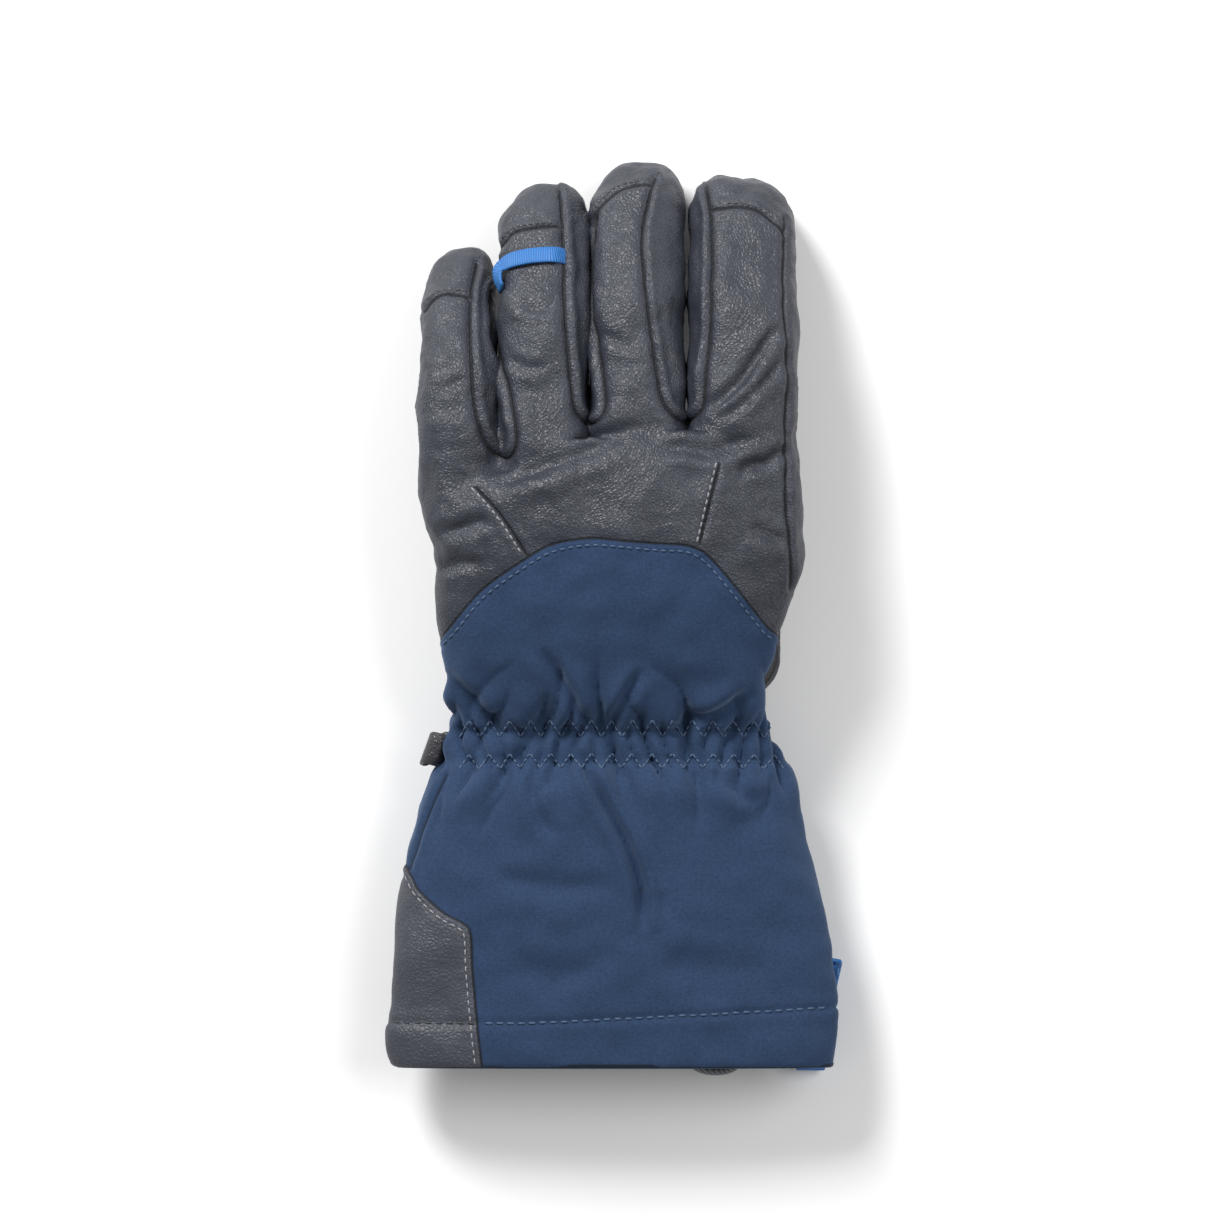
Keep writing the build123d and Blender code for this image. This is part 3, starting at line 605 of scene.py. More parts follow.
def form_seams(face):
    """Distances with a sign, which the finish blends over a seam, only where one seam runs through a face."""
    distances, numbers = seam[face], seam_number[face]
    crossed = numbers[0] > 0 and (numbers == numbers[0]).all() and np.abs(distances).max() < 3
    return distances if crossed else np.abs(distances)


skins = {}
for number, name in enumerate(panel_names):
    faces = [form_faces[i] for i in np.where(face_panels == number)[0]]
    skins[name] = skin_piece(name, place, form_normals, faces, form_seams)
bpy.data.objects.remove(form)


# ---------------- leather and softshell
# Goat leather with a fine pebbled grain, and a dense matt softshell with a faint heather. Both are
# drawn in their seams; their colour carries painted shade in each seam's groove, and on the leather a painted
# highlight beside the fold.


def new_group(name, knob, value, outputs):
    group = bpy.data.node_groups.new(name, "ShaderNodeTree")
    group.interface.new_socket(name=knob, in_out="INPUT", socket_type="NodeSocketFloat").default_value = value
    for label in outputs:
        group.interface.new_socket(name=label, in_out="OUTPUT", socket_type="NodeSocketFloat")
    return group


def math_node(tree, operation, a, b=None, clamp=False):
    node = tree.nodes.new("ShaderNodeMath")
    node.operation = operation
    node.use_clamp = clamp
    for socket, value in zip(node.inputs, (a, b)):
        if value is None:
            continue
        if isinstance(value, (int, float)):
            socket.default_value = value
        else:
            tree.links.new(value, socket)
    return node.outputs[0]


def times(tree, a, b):
    return math_node(tree, "MULTIPLY", a, b)


def plus(tree, a, b, clamp=False):
    return math_node(tree, "ADD", a, b, clamp)


def noise_node(tree, where, scale, detail=3.0, rough=0.5):
    node = tree.nodes.new("ShaderNodeTexNoise")
    node.inputs["Scale"].default_value = scale
    node.inputs["Detail"].default_value = detail
    node.inputs["Roughness"].default_value = rough
    tree.links.new(where, node.inputs["Vector"])
    return node.outputs["Fac"]


def wave_node(tree, where, scale, direction="X", distortion=0.0):
    node = tree.nodes.new("ShaderNodeTexWave")
    node.bands_direction = direction
    node.inputs["Scale"].default_value = scale
    node.inputs["Distortion"].default_value = distortion
    tree.links.new(where, node.inputs["Vector"])
    return node.outputs["Fac"]


def group_node(tree, group, label, value):
    node = tree.nodes.new("ShaderNodeGroup")
    node.node_tree = group
    node.inputs[label].default_value = value
    return node


def new_finish(name, **sockets):
    """A material with constants on its shader's own sockets, its tree, and the place on the piece."""
    finish = bpy.data.materials.new(name)
    finish.use_nodes = True
    tree = finish.node_tree
    shader = tree.nodes["Principled BSDF"]
    for label, value in sockets.items():
        shader.inputs[label.replace("_", " ")].default_value = value
    return finish, tree, shader, tree.nodes.new("ShaderNodeTexCoord").outputs["Object"]


def add_bump(tree, shader, height, strength, distance, invert=False, over=None):
    """Relief from a height, laid over an earlier relief if one is given."""
    bump = tree.nodes.new("ShaderNodeBump")
    bump.inputs["Strength"].default_value = strength
    bump.inputs["Distance"].default_value = distance
    bump.invert = invert
    tree.links.new(height, bump.inputs["Height"])
    if over is not None:
        tree.links.new(over, bump.inputs["Normal"])
    tree.links.new(bump.outputs["Normal"], shader.inputs["Normal"])
    return bump.outputs["Normal"]


def mix_colours(tree, share, first, second):
    node = tree.nodes.new("ShaderNodeMix")
    node.data_type = "RGBA"
    tree.links.new(share, node.inputs[0])
    for socket, value in ((node.inputs[6], first), (node.inputs[7], second)):
        if isinstance(value, tuple):
            socket.default_value = (*value, 1)
        else:
            tree.links.new(value, socket)
    return node.outputs[2]


# Masks along each seam: Line marks the groove, where the finishes paint shade, and Beside marks the strip
# next to it, where the leather gets a painted highlight.
seam_group = new_group("seam_line", "Width", 0.5, ("Line", "Beside"))
tree = seam_group
inside, outside = tree.nodes.new("NodeGroupInput"), tree.nodes.new("NodeGroupOutput")
seam_value = tree.nodes.new("ShaderNodeAttribute")
seam_value.attribute_name = "seam"
away = math_node(tree, "ABSOLUTE", seam_value.outputs["Fac"])
ratio = math_node(tree, "DIVIDE", away, inside.outputs["Width"])
line = math_node(tree, "EXPONENT", times(tree, times(tree, ratio, ratio), -1.0))
wide = math_node(tree, "EXPONENT", times(tree, away, -0.45))
tree.links.new(line, outside.inputs["Line"])
tree.links.new(wide, outside.inputs["Beside"])

grain_group = new_group("leather_grain", "Cell", 900.0, ("Height", "Valley", "Mottle"))
tree = grain_group
inside, outside = tree.nodes.new("NodeGroupInput"), tree.nodes.new("NodeGroupOutput")
place_node = tree.nodes.new("ShaderNodeTexCoord").outputs["Object"]
warp = tree.nodes.new("ShaderNodeVectorMath")
warp.operation = "SCALE"
warp.inputs["Scale"].default_value = 0.0016
bend_noise = tree.nodes.new("ShaderNodeTexNoise")
bend_noise.inputs["Scale"].default_value = 260.0
tree.links.new(place_node, bend_noise.inputs["Vector"])
tree.links.new(bend_noise.outputs["Color"], warp.inputs[0])
warped = tree.nodes.new("ShaderNodeVectorMath")
warped.operation = "ADD"
tree.links.new(place_node, warped.inputs[0])
tree.links.new(warp.outputs[0], warped.inputs[1])
cells = tree.nodes.new("ShaderNodeTexVoronoi")
cells.feature = "DISTANCE_TO_EDGE"
tree.links.new(inside.outputs["Cell"], cells.inputs["Scale"])
tree.links.new(warped.outputs[0], cells.inputs["Vector"])
pebble = math_node(tree, "MULTIPLY", cells.outputs["Distance"], 3.2, clamp=True)
fine_grain = noise_node(tree, warped.outputs[0], 1900.0, 1.0)
soft_lumps = noise_node(tree, place_node, 330.0, 2.0)
height = plus(tree, times(tree, pebble, 0.6), times(tree, fine_grain, 0.15))
height = plus(tree, height, times(tree, soft_lumps, 1.1))
tree.links.new(height, outside.inputs["Height"])
tree.links.new(math_node(tree, "SUBTRACT", 1.0, pebble), outside.inputs["Valley"])
tree.links.new(noise_node(tree, place_node, 55.0, 5.0, 0.6), outside.inputs["Mottle"])


def set_colour(tree, shader, share, dark, light):
    tree.links.new(mix_colours(tree, share, dark, light), shader.inputs["Base Color"])


def leather_finish(name, dark, light, rough=0.45, cell=850.0):
    finish, tree, shader, _ = new_finish(name, Specular_IOR_Level=0.42)
    grain = group_node(tree, grain_group, "Cell", cell)
    edge = group_node(tree, seam_group, "Width", 0.42)
    body = mix_colours(tree, grain.outputs["Mottle"], dark, light)
    # Painted shade: the grain's valleys are darkened in the colour.
    body = mix_colours(tree, times(tree, grain.outputs["Valley"], 0.35), body, dark)
    # Painted highlight: beside each seam, on its rolled edge, the colour is lightened.
    seam_highlight_colour = mix_colours(tree, times(tree, edge.outputs["Beside"], 0.30), body, light)
    # Painted shade: the seam's groove is darkened nearly to black.
    set_colour(tree, shader, times(tree, edge.outputs["Line"], 0.93), seam_highlight_colour, (0.004, 0.004, 0.005))
    dull = plus(tree, times(tree, grain.outputs["Mottle"], 0.22), rough - 0.11)
    dull = plus(tree, dull, times(tree, edge.outputs["Line"], 0.3), clamp=True)
    tree.links.new(dull, shader.inputs["Roughness"])
    pebbled = add_bump(tree, shader, grain.outputs["Height"], 0.7, 0.00032)
    add_bump(tree, shader, edge.outputs["Line"], 0.9, 0.0006, invert=True, over=pebbled)
    return finish


def softshell_finish(name, dark, light):
    finish, tree, shader, spot = new_finish(name, Roughness=0.86, Specular_IOR_Level=0.22, Sheen_Weight=0.25,
                                            Sheen_Roughness=0.5, Sheen_Tint=(0.45, 0.6, 0.9, 1))
    edge = group_node(tree, seam_group, "Width", 0.38)
    heather = noise_node(tree, spot, 1100.0, 3.0, 0.85)
    patchy = noise_node(tree, spot, 30.0, 4.0, 0.6)
    fibre = times(tree, math_node(tree, "SUBTRACT", heather, 0.30), 2.1)
    fibre = plus(tree, fibre, times(tree, patchy, 0.20), clamp=True)
    body = mix_colours(tree, fibre, dark, light)
    # Painted shade: the seam's groove is darkened nearly to black.
    set_colour(tree, shader, times(tree, edge.outputs["Line"], 0.85), body, (0.003, 0.005, 0.010))
    weave = times(tree, *(wave_node(tree, spot, 420.0, way, 1.5) for way in ("X", "Y")))
    add_bump(tree, shader, plus(tree, weave, times(tree, heather, 0.8)), 0.35, 0.00012)
    return finish


glove_leather = leather_finish("glove_leather", (0.016, 0.018, 0.026), (0.042, 0.046, 0.062))
patch_leather = leather_finish("patch_leather", (0.029, 0.032, 0.043), (0.056, 0.062, 0.080), 0.5, 700.0)
navy_softshell = softshell_finish("navy_softshell", (0.010, 0.024, 0.060), (0.024, 0.050, 0.106))

skin_finishes = {name: (glove_leather, "leather") for name in skins}
for name in ("gauntlet_softshell", "wrist_skin", "hand_softshell"):
    skin_finishes[name] = (navy_softshell, "softshell")
for name in ("gauntlet_patch", "palm_patch"):
    skin_finishes[name] = (patch_leather, "trim_leather")
for name, (finish, slot_name) in skin_finishes.items():
    skins[name].data.materials.append(finish)
for name, body, *parts in (
    ("gauntlet_softshell", "gauntlet", "gauntlet_back_panel", "gauntlet_palm_panel", "hem_band",
     "gauntlet_lining", "gauntlet_drawcord"),
    ("gauntlet_patch", "gauntlet", "corner_patch"),
    ("hand_softshell", "hand", "hand_back_softshell"),
    ("hand_leather", "hand", "hand_back_leather", "hand_palm_leather", "hand_insulation", "hand_lining"),
    ("palm_patch", "hand", "palm_reinforcement"),
):
    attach(skins[name], body)
    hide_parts(*parts)


def blend_at_wrist(piece):
    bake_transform(piece)


blend_at_wrist(skins["wrist_skin"])
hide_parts("wrist_gather", "wrist_elastic")
for name, sizes in stalls.items():
    centre, knuckle = sizes[0] * mm, sizes[4] * mm
    root_skin, tip_skin = skins[f"{name}_root_skin"], skins[f"{name}_tip_skin"]
    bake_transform(root_skin)
    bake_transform(tip_skin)
    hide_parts(*(f"{name}_base_{part}" for part in ("sleeve", "shell", "lining")))
    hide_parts(f"{name}_knuckle_sleeve",
                *(f"{name}_tip_{part}" for part in ("shell", "cap", "lining")))

# ---------------- lining and hem's rim
# Brushed fleece inside the gauntlet and hand. At the mouth the softshell's hem is turned in over the
# fleece's edge, so the rim is a rolled edge of the same cloth.


def inset_ring(station, inset, y=None):
    at, left, right, low, high = station
    thin = min(inset, (high - low) / 2 - 1.5)
    return ring((at if y is None else y, left + inset, right - inset, low + thin, high - thin), count=120)


lining_stations = smooth_stations(sleeve_stations)
mouth = next(station for station in lining_stations if station[0] > -158.5)
mouth_rings = [inset_ring(mouth, inset, y) for inset, y in
               ((0.2, -155.6), (0.5, -156.7), (1.3, -157.1), (2.2, -156.8), (3.0, -155.6), (3.3, -152.0))]
lining_rings = [inset_ring(station, 4.2 if station[0] < wrist_start else 5.6)
                for station in lining_stations if -150 < station[0] < 40]


def open_tube(name, rings, closed_far=False):
    """A tube that is open at its near end; its faces look inwards."""
    piece = closed_tube(name, rings)
    fans = (-2,) if closed_far else (-2, -1)
    reshape(piece, lambda tube: bmesh.ops.delete(tube, geom=[tube.verts[i] for i in fans], context="VERTS"))
    piece.data.shade_smooth()
    return piece


hem_rim = open_tube("hem_rim", mouth_rings)
fleece_lining = open_tube("fleece_lining", [mouth_rings[-1]] + lining_rings, closed_far=True)
reshape(fleece_lining, lambda sheet: bmesh.ops.reverse_faces(sheet, faces=sheet.faces[:]))

fleece, tree, shader, spot = new_finish("fleece", Roughness=0.95, Sheen_Weight=0.5)
pile = noise_node(tree, spot, 900.0, 4.0, 0.7)
set_colour(tree, shader, pile, (0.010, 0.011, 0.013), (0.045, 0.047, 0.052))
add_bump(tree, shader, pile, 0.8, 0.0006)
# The rim has no seam attribute, so the softshell's painted seam shade covers all of it and it comes out
# nearly black.
hem_rim.data.materials.append(navy_softshell)
fleece_lining.data.materials.append(fleece)
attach(hem_rim, "gauntlet")
blend_at_wrist(fleece_lining)

# ---------------- thumb
# Two padded panels closed by a seam round the outline, tucked under the palm, and a soft collar of
# the same leather where it grows out of the palm.
thumb_x, thumb_z, thumb_root, thumb_tip, thumb_cut = 42.0, 11.6, -14.0, 50.0, 7.0
thumb_rings = []
for y in np.concatenate([thumb_root - 16 * np.cos(np.linspace(0.15, 1.5, 9)), np.arange(-12.0, 36.0, 2.0),
                         thumb_tip - 15 * np.cos(np.linspace(0, 1.42, 10))]):
    back = max(1 - max((thumb_root - y) / 16.2, 0) ** 2.3, 0.02) ** 0.5
    front = max(1 - max((y - thumb_tip + 15) / 15.2, 0) ** 2.3, 0.02) ** 0.5
    narrow = min(back, front)
    wide = (15.8 - 1.6 * float(smooth_step(y, 5.0, 42.0))) * narrow
    tall = (11.2 - 0.9 * float(smooth_step(-y, 14.0, 27.0))) * narrow
    thumb_rings.append((float(y), thumb_x - wide, thumb_x + wide, thumb_z - tall, thumb_z + tall))
thumb_rings = sorted(thumb_rings)
apart = [True] + [later[0] - earlier[0] > 0.05 for earlier, later in zip(thumb_rings, thumb_rings[1:])]
thumb_rings = [station for station, kept in zip(thumb_rings, apart) if kept]
thumb = closed_tube("thumb_form", [ring(station, count=96, power=2.3) for station in thumb_rings])
modify(thumb, "REMESH", mode="VOXEL", voxel_size=1.1 * mm)
modify(thumb, "SMOOTH", factor=0.5, iterations=6)
thumb_points = points_of(thumb)
thumb_normals = normals_of(thumb)
rim = thumb_points[:, 2] - thumb_z
folds = np.zeros(len(thumb_points))
for y, depth in ((12.0, 0.5), (18.5, 0.9), (23.5, 0.6)):
    bowed = thumb_points[:, 1] - 0.006 * (thumb_points[:, 0] - thumb_x) ** 2
    folds -= depth * bell(bowed, y, 1.6)
thumb_move = 0.5 * bell(np.abs(rim), 1.9, 1.2) - 0.9 * bell(rim, 0, 0.9) + folds
thumb_move += drift(thumb_points, 12.0, 4.4, 0.7) + drift(thumb_points, 3.6, 6.1, 0.3)
thumb_points = thumb_points + thumb_normals * thumb_move[:, None]
thumb_points[:, 2] = np.clip(thumb_points[:, 2], 0.1, 23.4)
set_points(thumb, thumb_points)
reshape(thumb, lambda sheet: bisect_at(sheet, thumb_cut))
thumb_points = points_of(thumb)
thumb_normals = normals_of(thumb)
thumb_faces = [tuple(p.vertices) for p in thumb.data.polygons]
thumb_skins = {}
for name, front in (("thumb_root_skin", False), ("thumb_tip_skin", True)):
    chosen = [face for face in thumb_faces if (thumb_points[list(face), 1].mean() > thumb_cut) == front]
    piece = skin_piece(name, thumb_points, thumb_normals, chosen,
                       lambda face: thumb_points[face, 2] - thumb_z)
    piece.data.materials.append(glove_leather)
    thumb_skins[name] = piece
bpy.data.objects.remove(thumb)
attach(thumb_skins["thumb_root_skin"], "thumb_base")
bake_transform(thumb_skins["thumb_tip_skin"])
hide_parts("thumb_base_shell", "thumb_base_lining")
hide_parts("thumb_knuckle_sleeve", "thumb_tip_shell", "thumb_tip_cap",
            "thumb_tip_lining")

turn = np.linspace(0, 2 * math.pi, 48, endpoint=False)
collar_rows = []
for radius, z in ((12.6, 19.5), (14.4, 21.6), (15.2, 23.2), (14.3, 24.6), (14.0, 27.0), (13.9, 30.0),
                  (13.4, 33.5), (12.6, 37.0), (11.0, 40.0)):
    x, y = thumb_x + radius * np.cos(turn), thumb_root + radius * np.sin(turn)
    collar_rows.append(np.stack([x, y, np.full(48, z)], axis=1))
gusset = open_tube("thumb_gusset_skin", collar_rows)
# The collar has no seam attribute, so the leather's painted seam shade covers all of it and it comes out
# nearly black.
gusset.data.materials.append(glove_leather)
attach(gusset, "hand")
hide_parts("thumb_gusset")

# ---------------- finger loop
# Narrow woven tape that arches over the back of the ring stall. Its ends are caught in the seams, and
# the part beside the little finger is free and folds.


def face_outward(piece):
    reshape(piece, lambda sheet: bmesh.ops.recalc_face_normals(sheet, faces=sheet.faces[:]))
    piece.data.shade_smooth()


def tape_strip(name, path, across, width, thick):
    """A flat tape along a path, with rounded edges; across gives its width direction at each point."""
    path, across = np.array(path, dtype=float), np.array(across, dtype=float)
    across /= np.linalg.norm(across, axis=1, keepdims=True)
    along = np.gradient(path, axis=0)
    along /= np.linalg.norm(along, axis=1, keepdims=True)
    out = np.cross(across, along)
    outline = [(-0.5, 0.25), (-0.47, 0.5), (-0.2, 0.5), (0.2, 0.5), (0.47, 0.5), (0.5, 0.25),
               (0.5, -0.25), (0.47, -0.5), (0.2, -0.5), (-0.2, -0.5), (-0.47, -0.5), (-0.5, -0.25)]
    rings = [np.array([p + a * u * width + o * v * thick for u, v in outline])
             for p, a, o in zip(path, across, out)]
    piece = closed_tube(name, rings)
    face_outward(piece)
    coords = piece.data.uv_layers.new(name="tape")
    lengths = np.concatenate([[0], np.cumsum(np.linalg.norm(np.diff(path, axis=0), axis=1))])
    count = len(outline)
    for corner, place_here in zip(piece.data.loops, coords.data):
        row, spot = divmod(corner.vertex_index, count)
        u = outline[spot][0] if row < len(path) else 0.0
        place_here.uv = (lengths[min(row, len(path) - 1)] * mm, u * width * mm)
    return piece


blue_tape, tree, shader, _ = new_finish("blue_tape", Roughness=0.55)
tape_place = tree.nodes.new("ShaderNodeUVMap")
tape_place.uv_map = "tape"
ribs = wave_node(tree, tape_place.outputs["UV"], 380.0, distortion=0.6)
set_colour(tree, shader, ribs, (0.008, 0.080, 0.270), (0.022, 0.165, 0.460))
add_bump(tree, shader, ribs, 0.6, 0.00025)


def height_at(x, y, otherwise=10.0):
    """Height of the skins' upper side."""
    hit = whole_form.ray_cast(Vector((x * mm, y * mm, 0.2)), Vector((0, 0, -1)))
    return hit[0].z / mm if hit[0] is not None and hit[0].z > 0.002 else otherwise


loop_plan = smooth_line([(-38.4, 111.6), (-39.5, 114.4), (-39.4, 118.0), (-36.4, 120.9), (-30, 122.6),
                         (-24, 123.2), (-19.5, 123.2), (-16.4, 122.6)], steps=6)
loop_lift = np.interp(np.linspace(0, 1, len(loop_plan)), (0, 0.18, 0.5, 0.8, 1), (0.2, 1.6, 2.4, 1.6, -0.6))
loop_path = np.array([(x, y, max(height_at(max(x, -37.6), y, 20.0), 16.0) + lift)
                      for (x, y), lift in zip(loop_plan, loop_lift)])
for _ in range(6):
    loop_path[1:-1, 2] = (loop_path[:-2, 2] + 2 * loop_path[1:-1, 2] + loop_path[2:, 2]) / 4
turned = np.gradient(loop_path, axis=0)
turned /= np.linalg.norm(turned, axis=1, keepdims=True)
laid = smooth_step(np.linspace(0, 1, len(loop_path)), 0.10, 0.48)[:, None]
across = laid * (0.0, 0.86, -0.50) + (1 - laid) * (-0.35, 0.1, -0.93)
across = across - turned * (turned * across).sum(axis=1, keepdims=True)
finger_loop = tape_strip("finger_loop_tape", loop_path, across, 6.0, 0.9)
finger_loop.data.materials.append(blue_tape)
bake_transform(finger_loop)
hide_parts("finger_loop")

# ---------------- pull loop
# Wider webbing folded to a loop and sewn under the hem at the index finger's side, to pull the
# gauntlet on with.
pull_path = smooth_line([(73.4, -121.6, 16.4), (73.6, -123.4, 11.6), (73.4, -126.4, 8.4), (72.0, -134.0, 7.2),
                         (70.0, -146.0, 6.9), (69.0, -155.4, 6.4), (68.7, -158.5, 4.4), (68.9, -156.2, 2.0),
                         (70.0, -146.0, 1.4), (72.2, -133.0, 2.0), (74.0, -124.6, 4.4), (74.6, -121.4, 9.0),
                         (74.2, -119.8, 16.0)], steps=4)
rise = smooth_step(pull_path[:, 2], 5.0, 15.0)
pull_across = np.stack([1.0 - 0.35 * rise, 0.0 * rise, 0.75 * rise], axis=1)
pull_along = np.gradient(pull_path, axis=0)
pull_along /= np.linalg.norm(pull_along, axis=1, keepdims=True)
pull_across -= pull_along * (pull_along * pull_across).sum(axis=1, keepdims=True)
pull_loop = tape_strip("pull_loop_webbing", pull_path, pull_across, 10.0, 1.2)
pull_loop.data.materials.append(blue_tape)
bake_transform(pull_loop)
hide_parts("pull_loop")

# ---------------- wrist loop
# A folded strip of leather that stands out of the gathered wrist on the little finger's side, for a
# leash or a clip.
turn = np.linspace(-math.pi * 0.42, math.pi * 1.42, 40)
bow_x, bow_y, bow_z = -61.4, -47.0, 21.6
bow = np.stack([bow_x - 3.1 * np.sin(turn), bow_y + 1.04 * np.sin(turn) * np.cos(turn),
                bow_z + 4.4 * np.cos(turn)], axis=1)[4:-4]
bow = bow[np.argsort(np.arctan2(bow[:, 2] - bow_z, bow_x - bow[:, 0]))]
loop_shape = np.concatenate([[(-57.4, -46.6, 19.4), (-58.9, -46.8, 18.4)], bow,
                             [(-58.9, -46.8, 24.6), (-57.4, -46.6, 23.4)]])
loop_across = np.tile((0.34, 0.94, 0.10), (len(loop_shape), 1))
wrist_loop = tape_strip("wrist_loop_leather", loop_shape, loop_across, 11.5, 1.4)
loop_leather = leather_finish("loop_leather", (0.016, 0.016, 0.020), (0.040, 0.040, 0.046), 0.38)
wrist_loop.data.materials.append(loop_leather)
seam_values = wrist_loop.data.attributes.new("seam", "FLOAT", "POINT")
seam_values.data.foreach_set("value", np.full(len(wrist_loop.data.vertices), 8.0, dtype=np.float32))
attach(wrist_loop, "wrist_loop")
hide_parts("wrist_loop")

# ---------------- drawcord
# Round elastic cord with a braided cover. Its free end hangs out of the guide as one long loop
# that passes twice through the lock and shows under the hem.
cord_points = [
    (0.0339, -0.1170, 0.0040), (0.0339, -0.1410, 0.0040), (0.0244, -0.1506, 0.0026),
    (0.0284, -0.1596, 0.0016), (0.0426, -0.1600, 0.0015), (0.0472, -0.1502, 0.0024),
    (0.0371, -0.1410, 0.0040), (0.0371, -0.1170, 0.0040),
]
cord_curve = bpy.data.curves.new("drawcord_tail_line", "CURVE")
cord_curve.dimensions = "3D"
spline = cord_curve.splines.new("NURBS")
spline.points.add(len(cord_points) - 1)
for point, place_here in zip(spline.points, cord_points):
    point.co = (*place_here, 1)
spline.order_u = 3
spline.use_endpoint_u = True
cord_curve.bevel_depth = 0.00115
cord_curve.bevel_resolution = 4
cord_curve.use_fill_caps = True
drawcord = bpy.data.objects.new("drawcord_tail_line", cord_curve)
bpy.context.collection.objects.link(drawcord)
braid, tree, shader, spot = new_finish("braided_cord", Roughness=0.75)
strands = wave_node(tree, spot, 330.0, "DIAGONAL")
set_colour(tree, shader, strands, (0.10, 0.11, 0.12), (0.28, 0.29, 0.31))
add_bump(tree, shader, strands, 0.7, 0.0003)
drawcord.data.materials.append(braid)
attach(drawcord, "gauntlet")
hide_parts("drawcord_tail")

# ---------------- cord lock and guide
# Moulded black plastic with a fine matt texture, and a spring of bright steel wire.
black_plastic, tree, shader, spot = new_finish("moulded_plastic", Roughness=0.45)
speck = noise_node(tree, spot, 2200.0, 2.0, 0.6)
set_colour(tree, shader, speck, (0.010, 0.010, 0.011), (0.022, 0.022, 0.024))
add_bump(tree, shader, speck, 0.3, 0.0001)

spring_steel, tree, shader, spot = new_finish("bright_wire", Metallic=1.0, Roughness=0.3)
set_colour(tree, shader, noise_node(tree, spot, 800.0), (0.45, 0.45, 0.46), (0.62, 0.62, 0.63))

spring_low, spring_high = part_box("cord_lock_spring")
spring_middle = [(spring_low[i] + spring_high[i]) / 2 / mm for i in range(3)]
wire = 0.225
spring_start, spring_end = spring_low[0] / mm + 0.25, spring_high[0] / mm - 0.25
coil_radius = (spring_high[1] - spring_low[1]) / 2 / mm - wire
turn = np.linspace(0, 6 * math.pi, 109)
around = np.linspace(0, 2 * math.pi, 8, endpoint=False)[:, None]
coil_rings = []
for x, angle in zip(np.linspace(spring_start, spring_end, len(turn)), turn):
    out = np.array([0.0, math.cos(angle), math.sin(angle)])
    centre = np.array([x, spring_middle[1], spring_middle[2]]) + coil_radius * out
    coil_rings.append(centre + wire * (out * np.cos(around) + np.array([1.0, 0, 0]) * np.sin(around)))
spring = closed_tube("lock_spring_wire", coil_rings)
face_outward(spring)
spring.data.materials.append(spring_steel)
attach(spring, "cord_lock")
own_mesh(spring)
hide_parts("cord_lock_spring")

for piece in bpy.data.objects:
    if piece.type == "MESH" and piece.name.startswith(("cord_lock", "drawcord_guide")):
        for slot in piece.material_slots:
            slot.material = black_plastic

# ---------------- stitching
# Lockstitch thread sunk a little into the skins: pale on the darts and the corner, blue on the
# softshell. Every stitch is one short spindle of thread.


def thread_finish(name, dark, light):
    finish, tree, shader, spot = new_finish(name, Roughness=0.6)
    twist = wave_node(tree, spot, 900.0, "DIAGONAL")
    set_colour(tree, shader, twist, dark, light)
    return finish


pale_thread = thread_finish("pale_thread", (0.14, 0.14, 0.15), (0.30, 0.30, 0.32))
dark_thread = thread_finish("dark_thread", (0.02, 0.02, 0.024), (0.06, 0.06, 0.068))
blue_thread = thread_finish("blue_thread", (0.026, 0.052, 0.105), (0.060, 0.100, 0.175))


def stitch_mesh(name, ends, thick, finish, body):
    """Stitches between pairs of points in plan, laid on the skins."""
    points, faces = [], []
    for first, last in ends:
        corners = []
        for x, y in (first, last):
            hit = whole_form.ray_cast(Vector((x * mm, y * mm, 0.2)), Vector((0, 0, -1)))
            if hit[0] is None:
                break
            corners.append((hit[0], hit[1]))
        if len(corners) < 2 or (corners[0][0] - corners[1][0]).length > 0.008:
            continue
        a, b = corners[0][0], corners[1][0]
        up = (corners[0][1] + corners[1][1]).normalized()
        run = (b - a).normalized()
        side = run.cross(up).normalized()
        base = len(points)
        for share, size, lift in ((0.0, 0.35, -0.3), (0.2, 1.0, 0.35), (0.8, 1.0, 0.35), (1.0, 0.35, -0.3)):
            centre = a.lerp(b, share) + up * (lift * thick * mm)
            for angle in range(6):
                c, z = math.cos(angle * math.pi / 3), math.sin(angle * math.pi / 3)
                points.append(centre + (side * c + up * z * 0.8) * (thick / 2 * size * mm))
        for row in range(base, base + 18, 6):
            for i in range(6):
                j = (i + 1) % 6
                faces.append((row + i, row + j, row + 6 + j, row + 6 + i))
        faces.append(tuple(base + i for i in reversed(range(6))))
        faces.append(tuple(base + 18 + i for i in range(6)))
    piece = new_piece(name, points, faces)
    face_outward(piece)
    piece.data.materials.append(finish)
    if body is not None:
        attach(piece, body)
    return piece


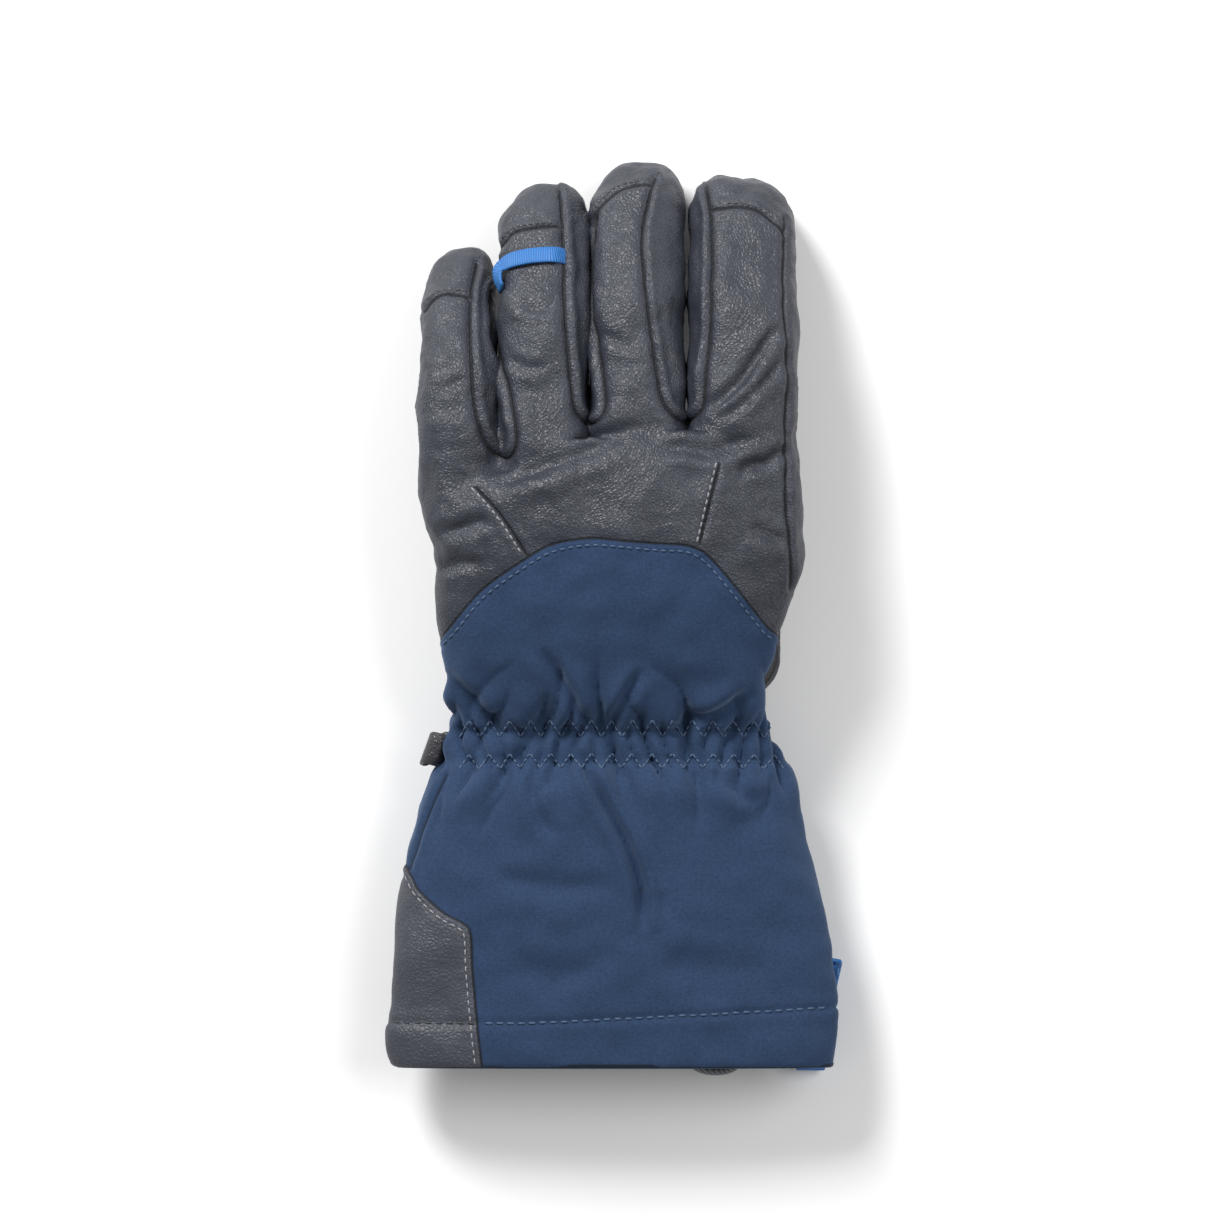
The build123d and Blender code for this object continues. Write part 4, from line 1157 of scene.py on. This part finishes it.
def along_line(line, pitch, length, aside=0.0, start=0.0, stop=1.0):
    """Ends of evenly spaced stitches beside a line."""
    line = np.array(line, dtype=float)
    run = np.gradient(line, axis=0)
    run /= np.linalg.norm(run, axis=1, keepdims=True)
    line = line + np.stack([-run[:, 1], run[:, 0]], axis=1) * aside
    lengths = np.concatenate([[0], np.cumsum(np.linalg.norm(np.diff(line, axis=0), axis=1))])
    ends = []
    for at in np.arange(lengths[-1] * start, lengths[-1] * stop - length, pitch):
        ends.append(tuple((np.interp(q, lengths, line[:, 0]), np.interp(q, lengths, line[:, 1]))
                          for q in (at, at + length)))
    return ends


def only_between(ends, low, high):
    return [pair for pair in ends if low < pair[0][1] < high]


arch_row = only_between(along_line(arch_line, 2.9, 2.2, aside=-2.1), -22, 40)
stitch_mesh("arch_stitches", arch_row, 0.72, blue_thread, "hand")
for name in ("left_dart", "right_dart"):
    dart_row = along_line(seam_lines[name], 2.6, 2.0, aside=-1.3)
    stitch_mesh(f"{name}_stitches", dart_row, 0.7, pale_thread, "hand")
patch_row = only_between(along_line(patch_line, 2.9, 2.2, aside=-2.4), -156, -84)
stitch_mesh("patch_stitches", patch_row, 0.62, pale_thread, "gauntlet")
for name, start, stop, length, thick, thread in (
    ("hem_stitches", -44.0, 77.0, 2.7, 0.85, blue_thread),
    ("hem_patch_stitches", -76.0, -46.5, 2.4, 0.6, dark_thread),
):
    hem_line = [(x, hem_row(x)) for x in np.arange(start, stop, 1.0)]
    stitch_mesh(name, along_line(hem_line, 3.7, length), thick, thread, "gauntlet")
for name in ("index", "middle", "ring", "pinky"):
    cap_row = along_line(seam_lines[f"{name}_cap"], 2.2, 1.6, aside=1.3, start=0.2, stop=0.94)
    stitch_mesh(f"{name}_cap_stitches", cap_row, 0.42, dark_thread, f"{name}_tip")


def zigzag(upper_y, lower_y, pitch, sag):
    """Ends of the stitches of a zigzag row, three to a stroke, that sags towards the middle."""
    ends = []
    for x in np.arange(-53.0, 53.0, pitch):
        for x0, y0, rise in ((x, lower_y, upper_y - lower_y), (x + pitch / 2, upper_y, lower_y - upper_y)):
            for stroke in ((0.02, 0.34), (0.36, 0.66), (0.68, 0.98)):
                across = [x0 + pitch / 2 * t for t in stroke]
                ends.append(tuple((u, y0 + rise * t + sag * (1 - (u / 55) ** 2))
                                  for u, t in zip(across, stroke)))
    return ends


for name, rows in (("upper_zigzag", (-37.2, -43.2)), ("lower_zigzag", (-48.8, -54.0))):
    stitches = stitch_mesh(name, zigzag(*rows, 7.0, 0.6), 0.75, blue_thread, None)
    blend_at_wrist(stitches)
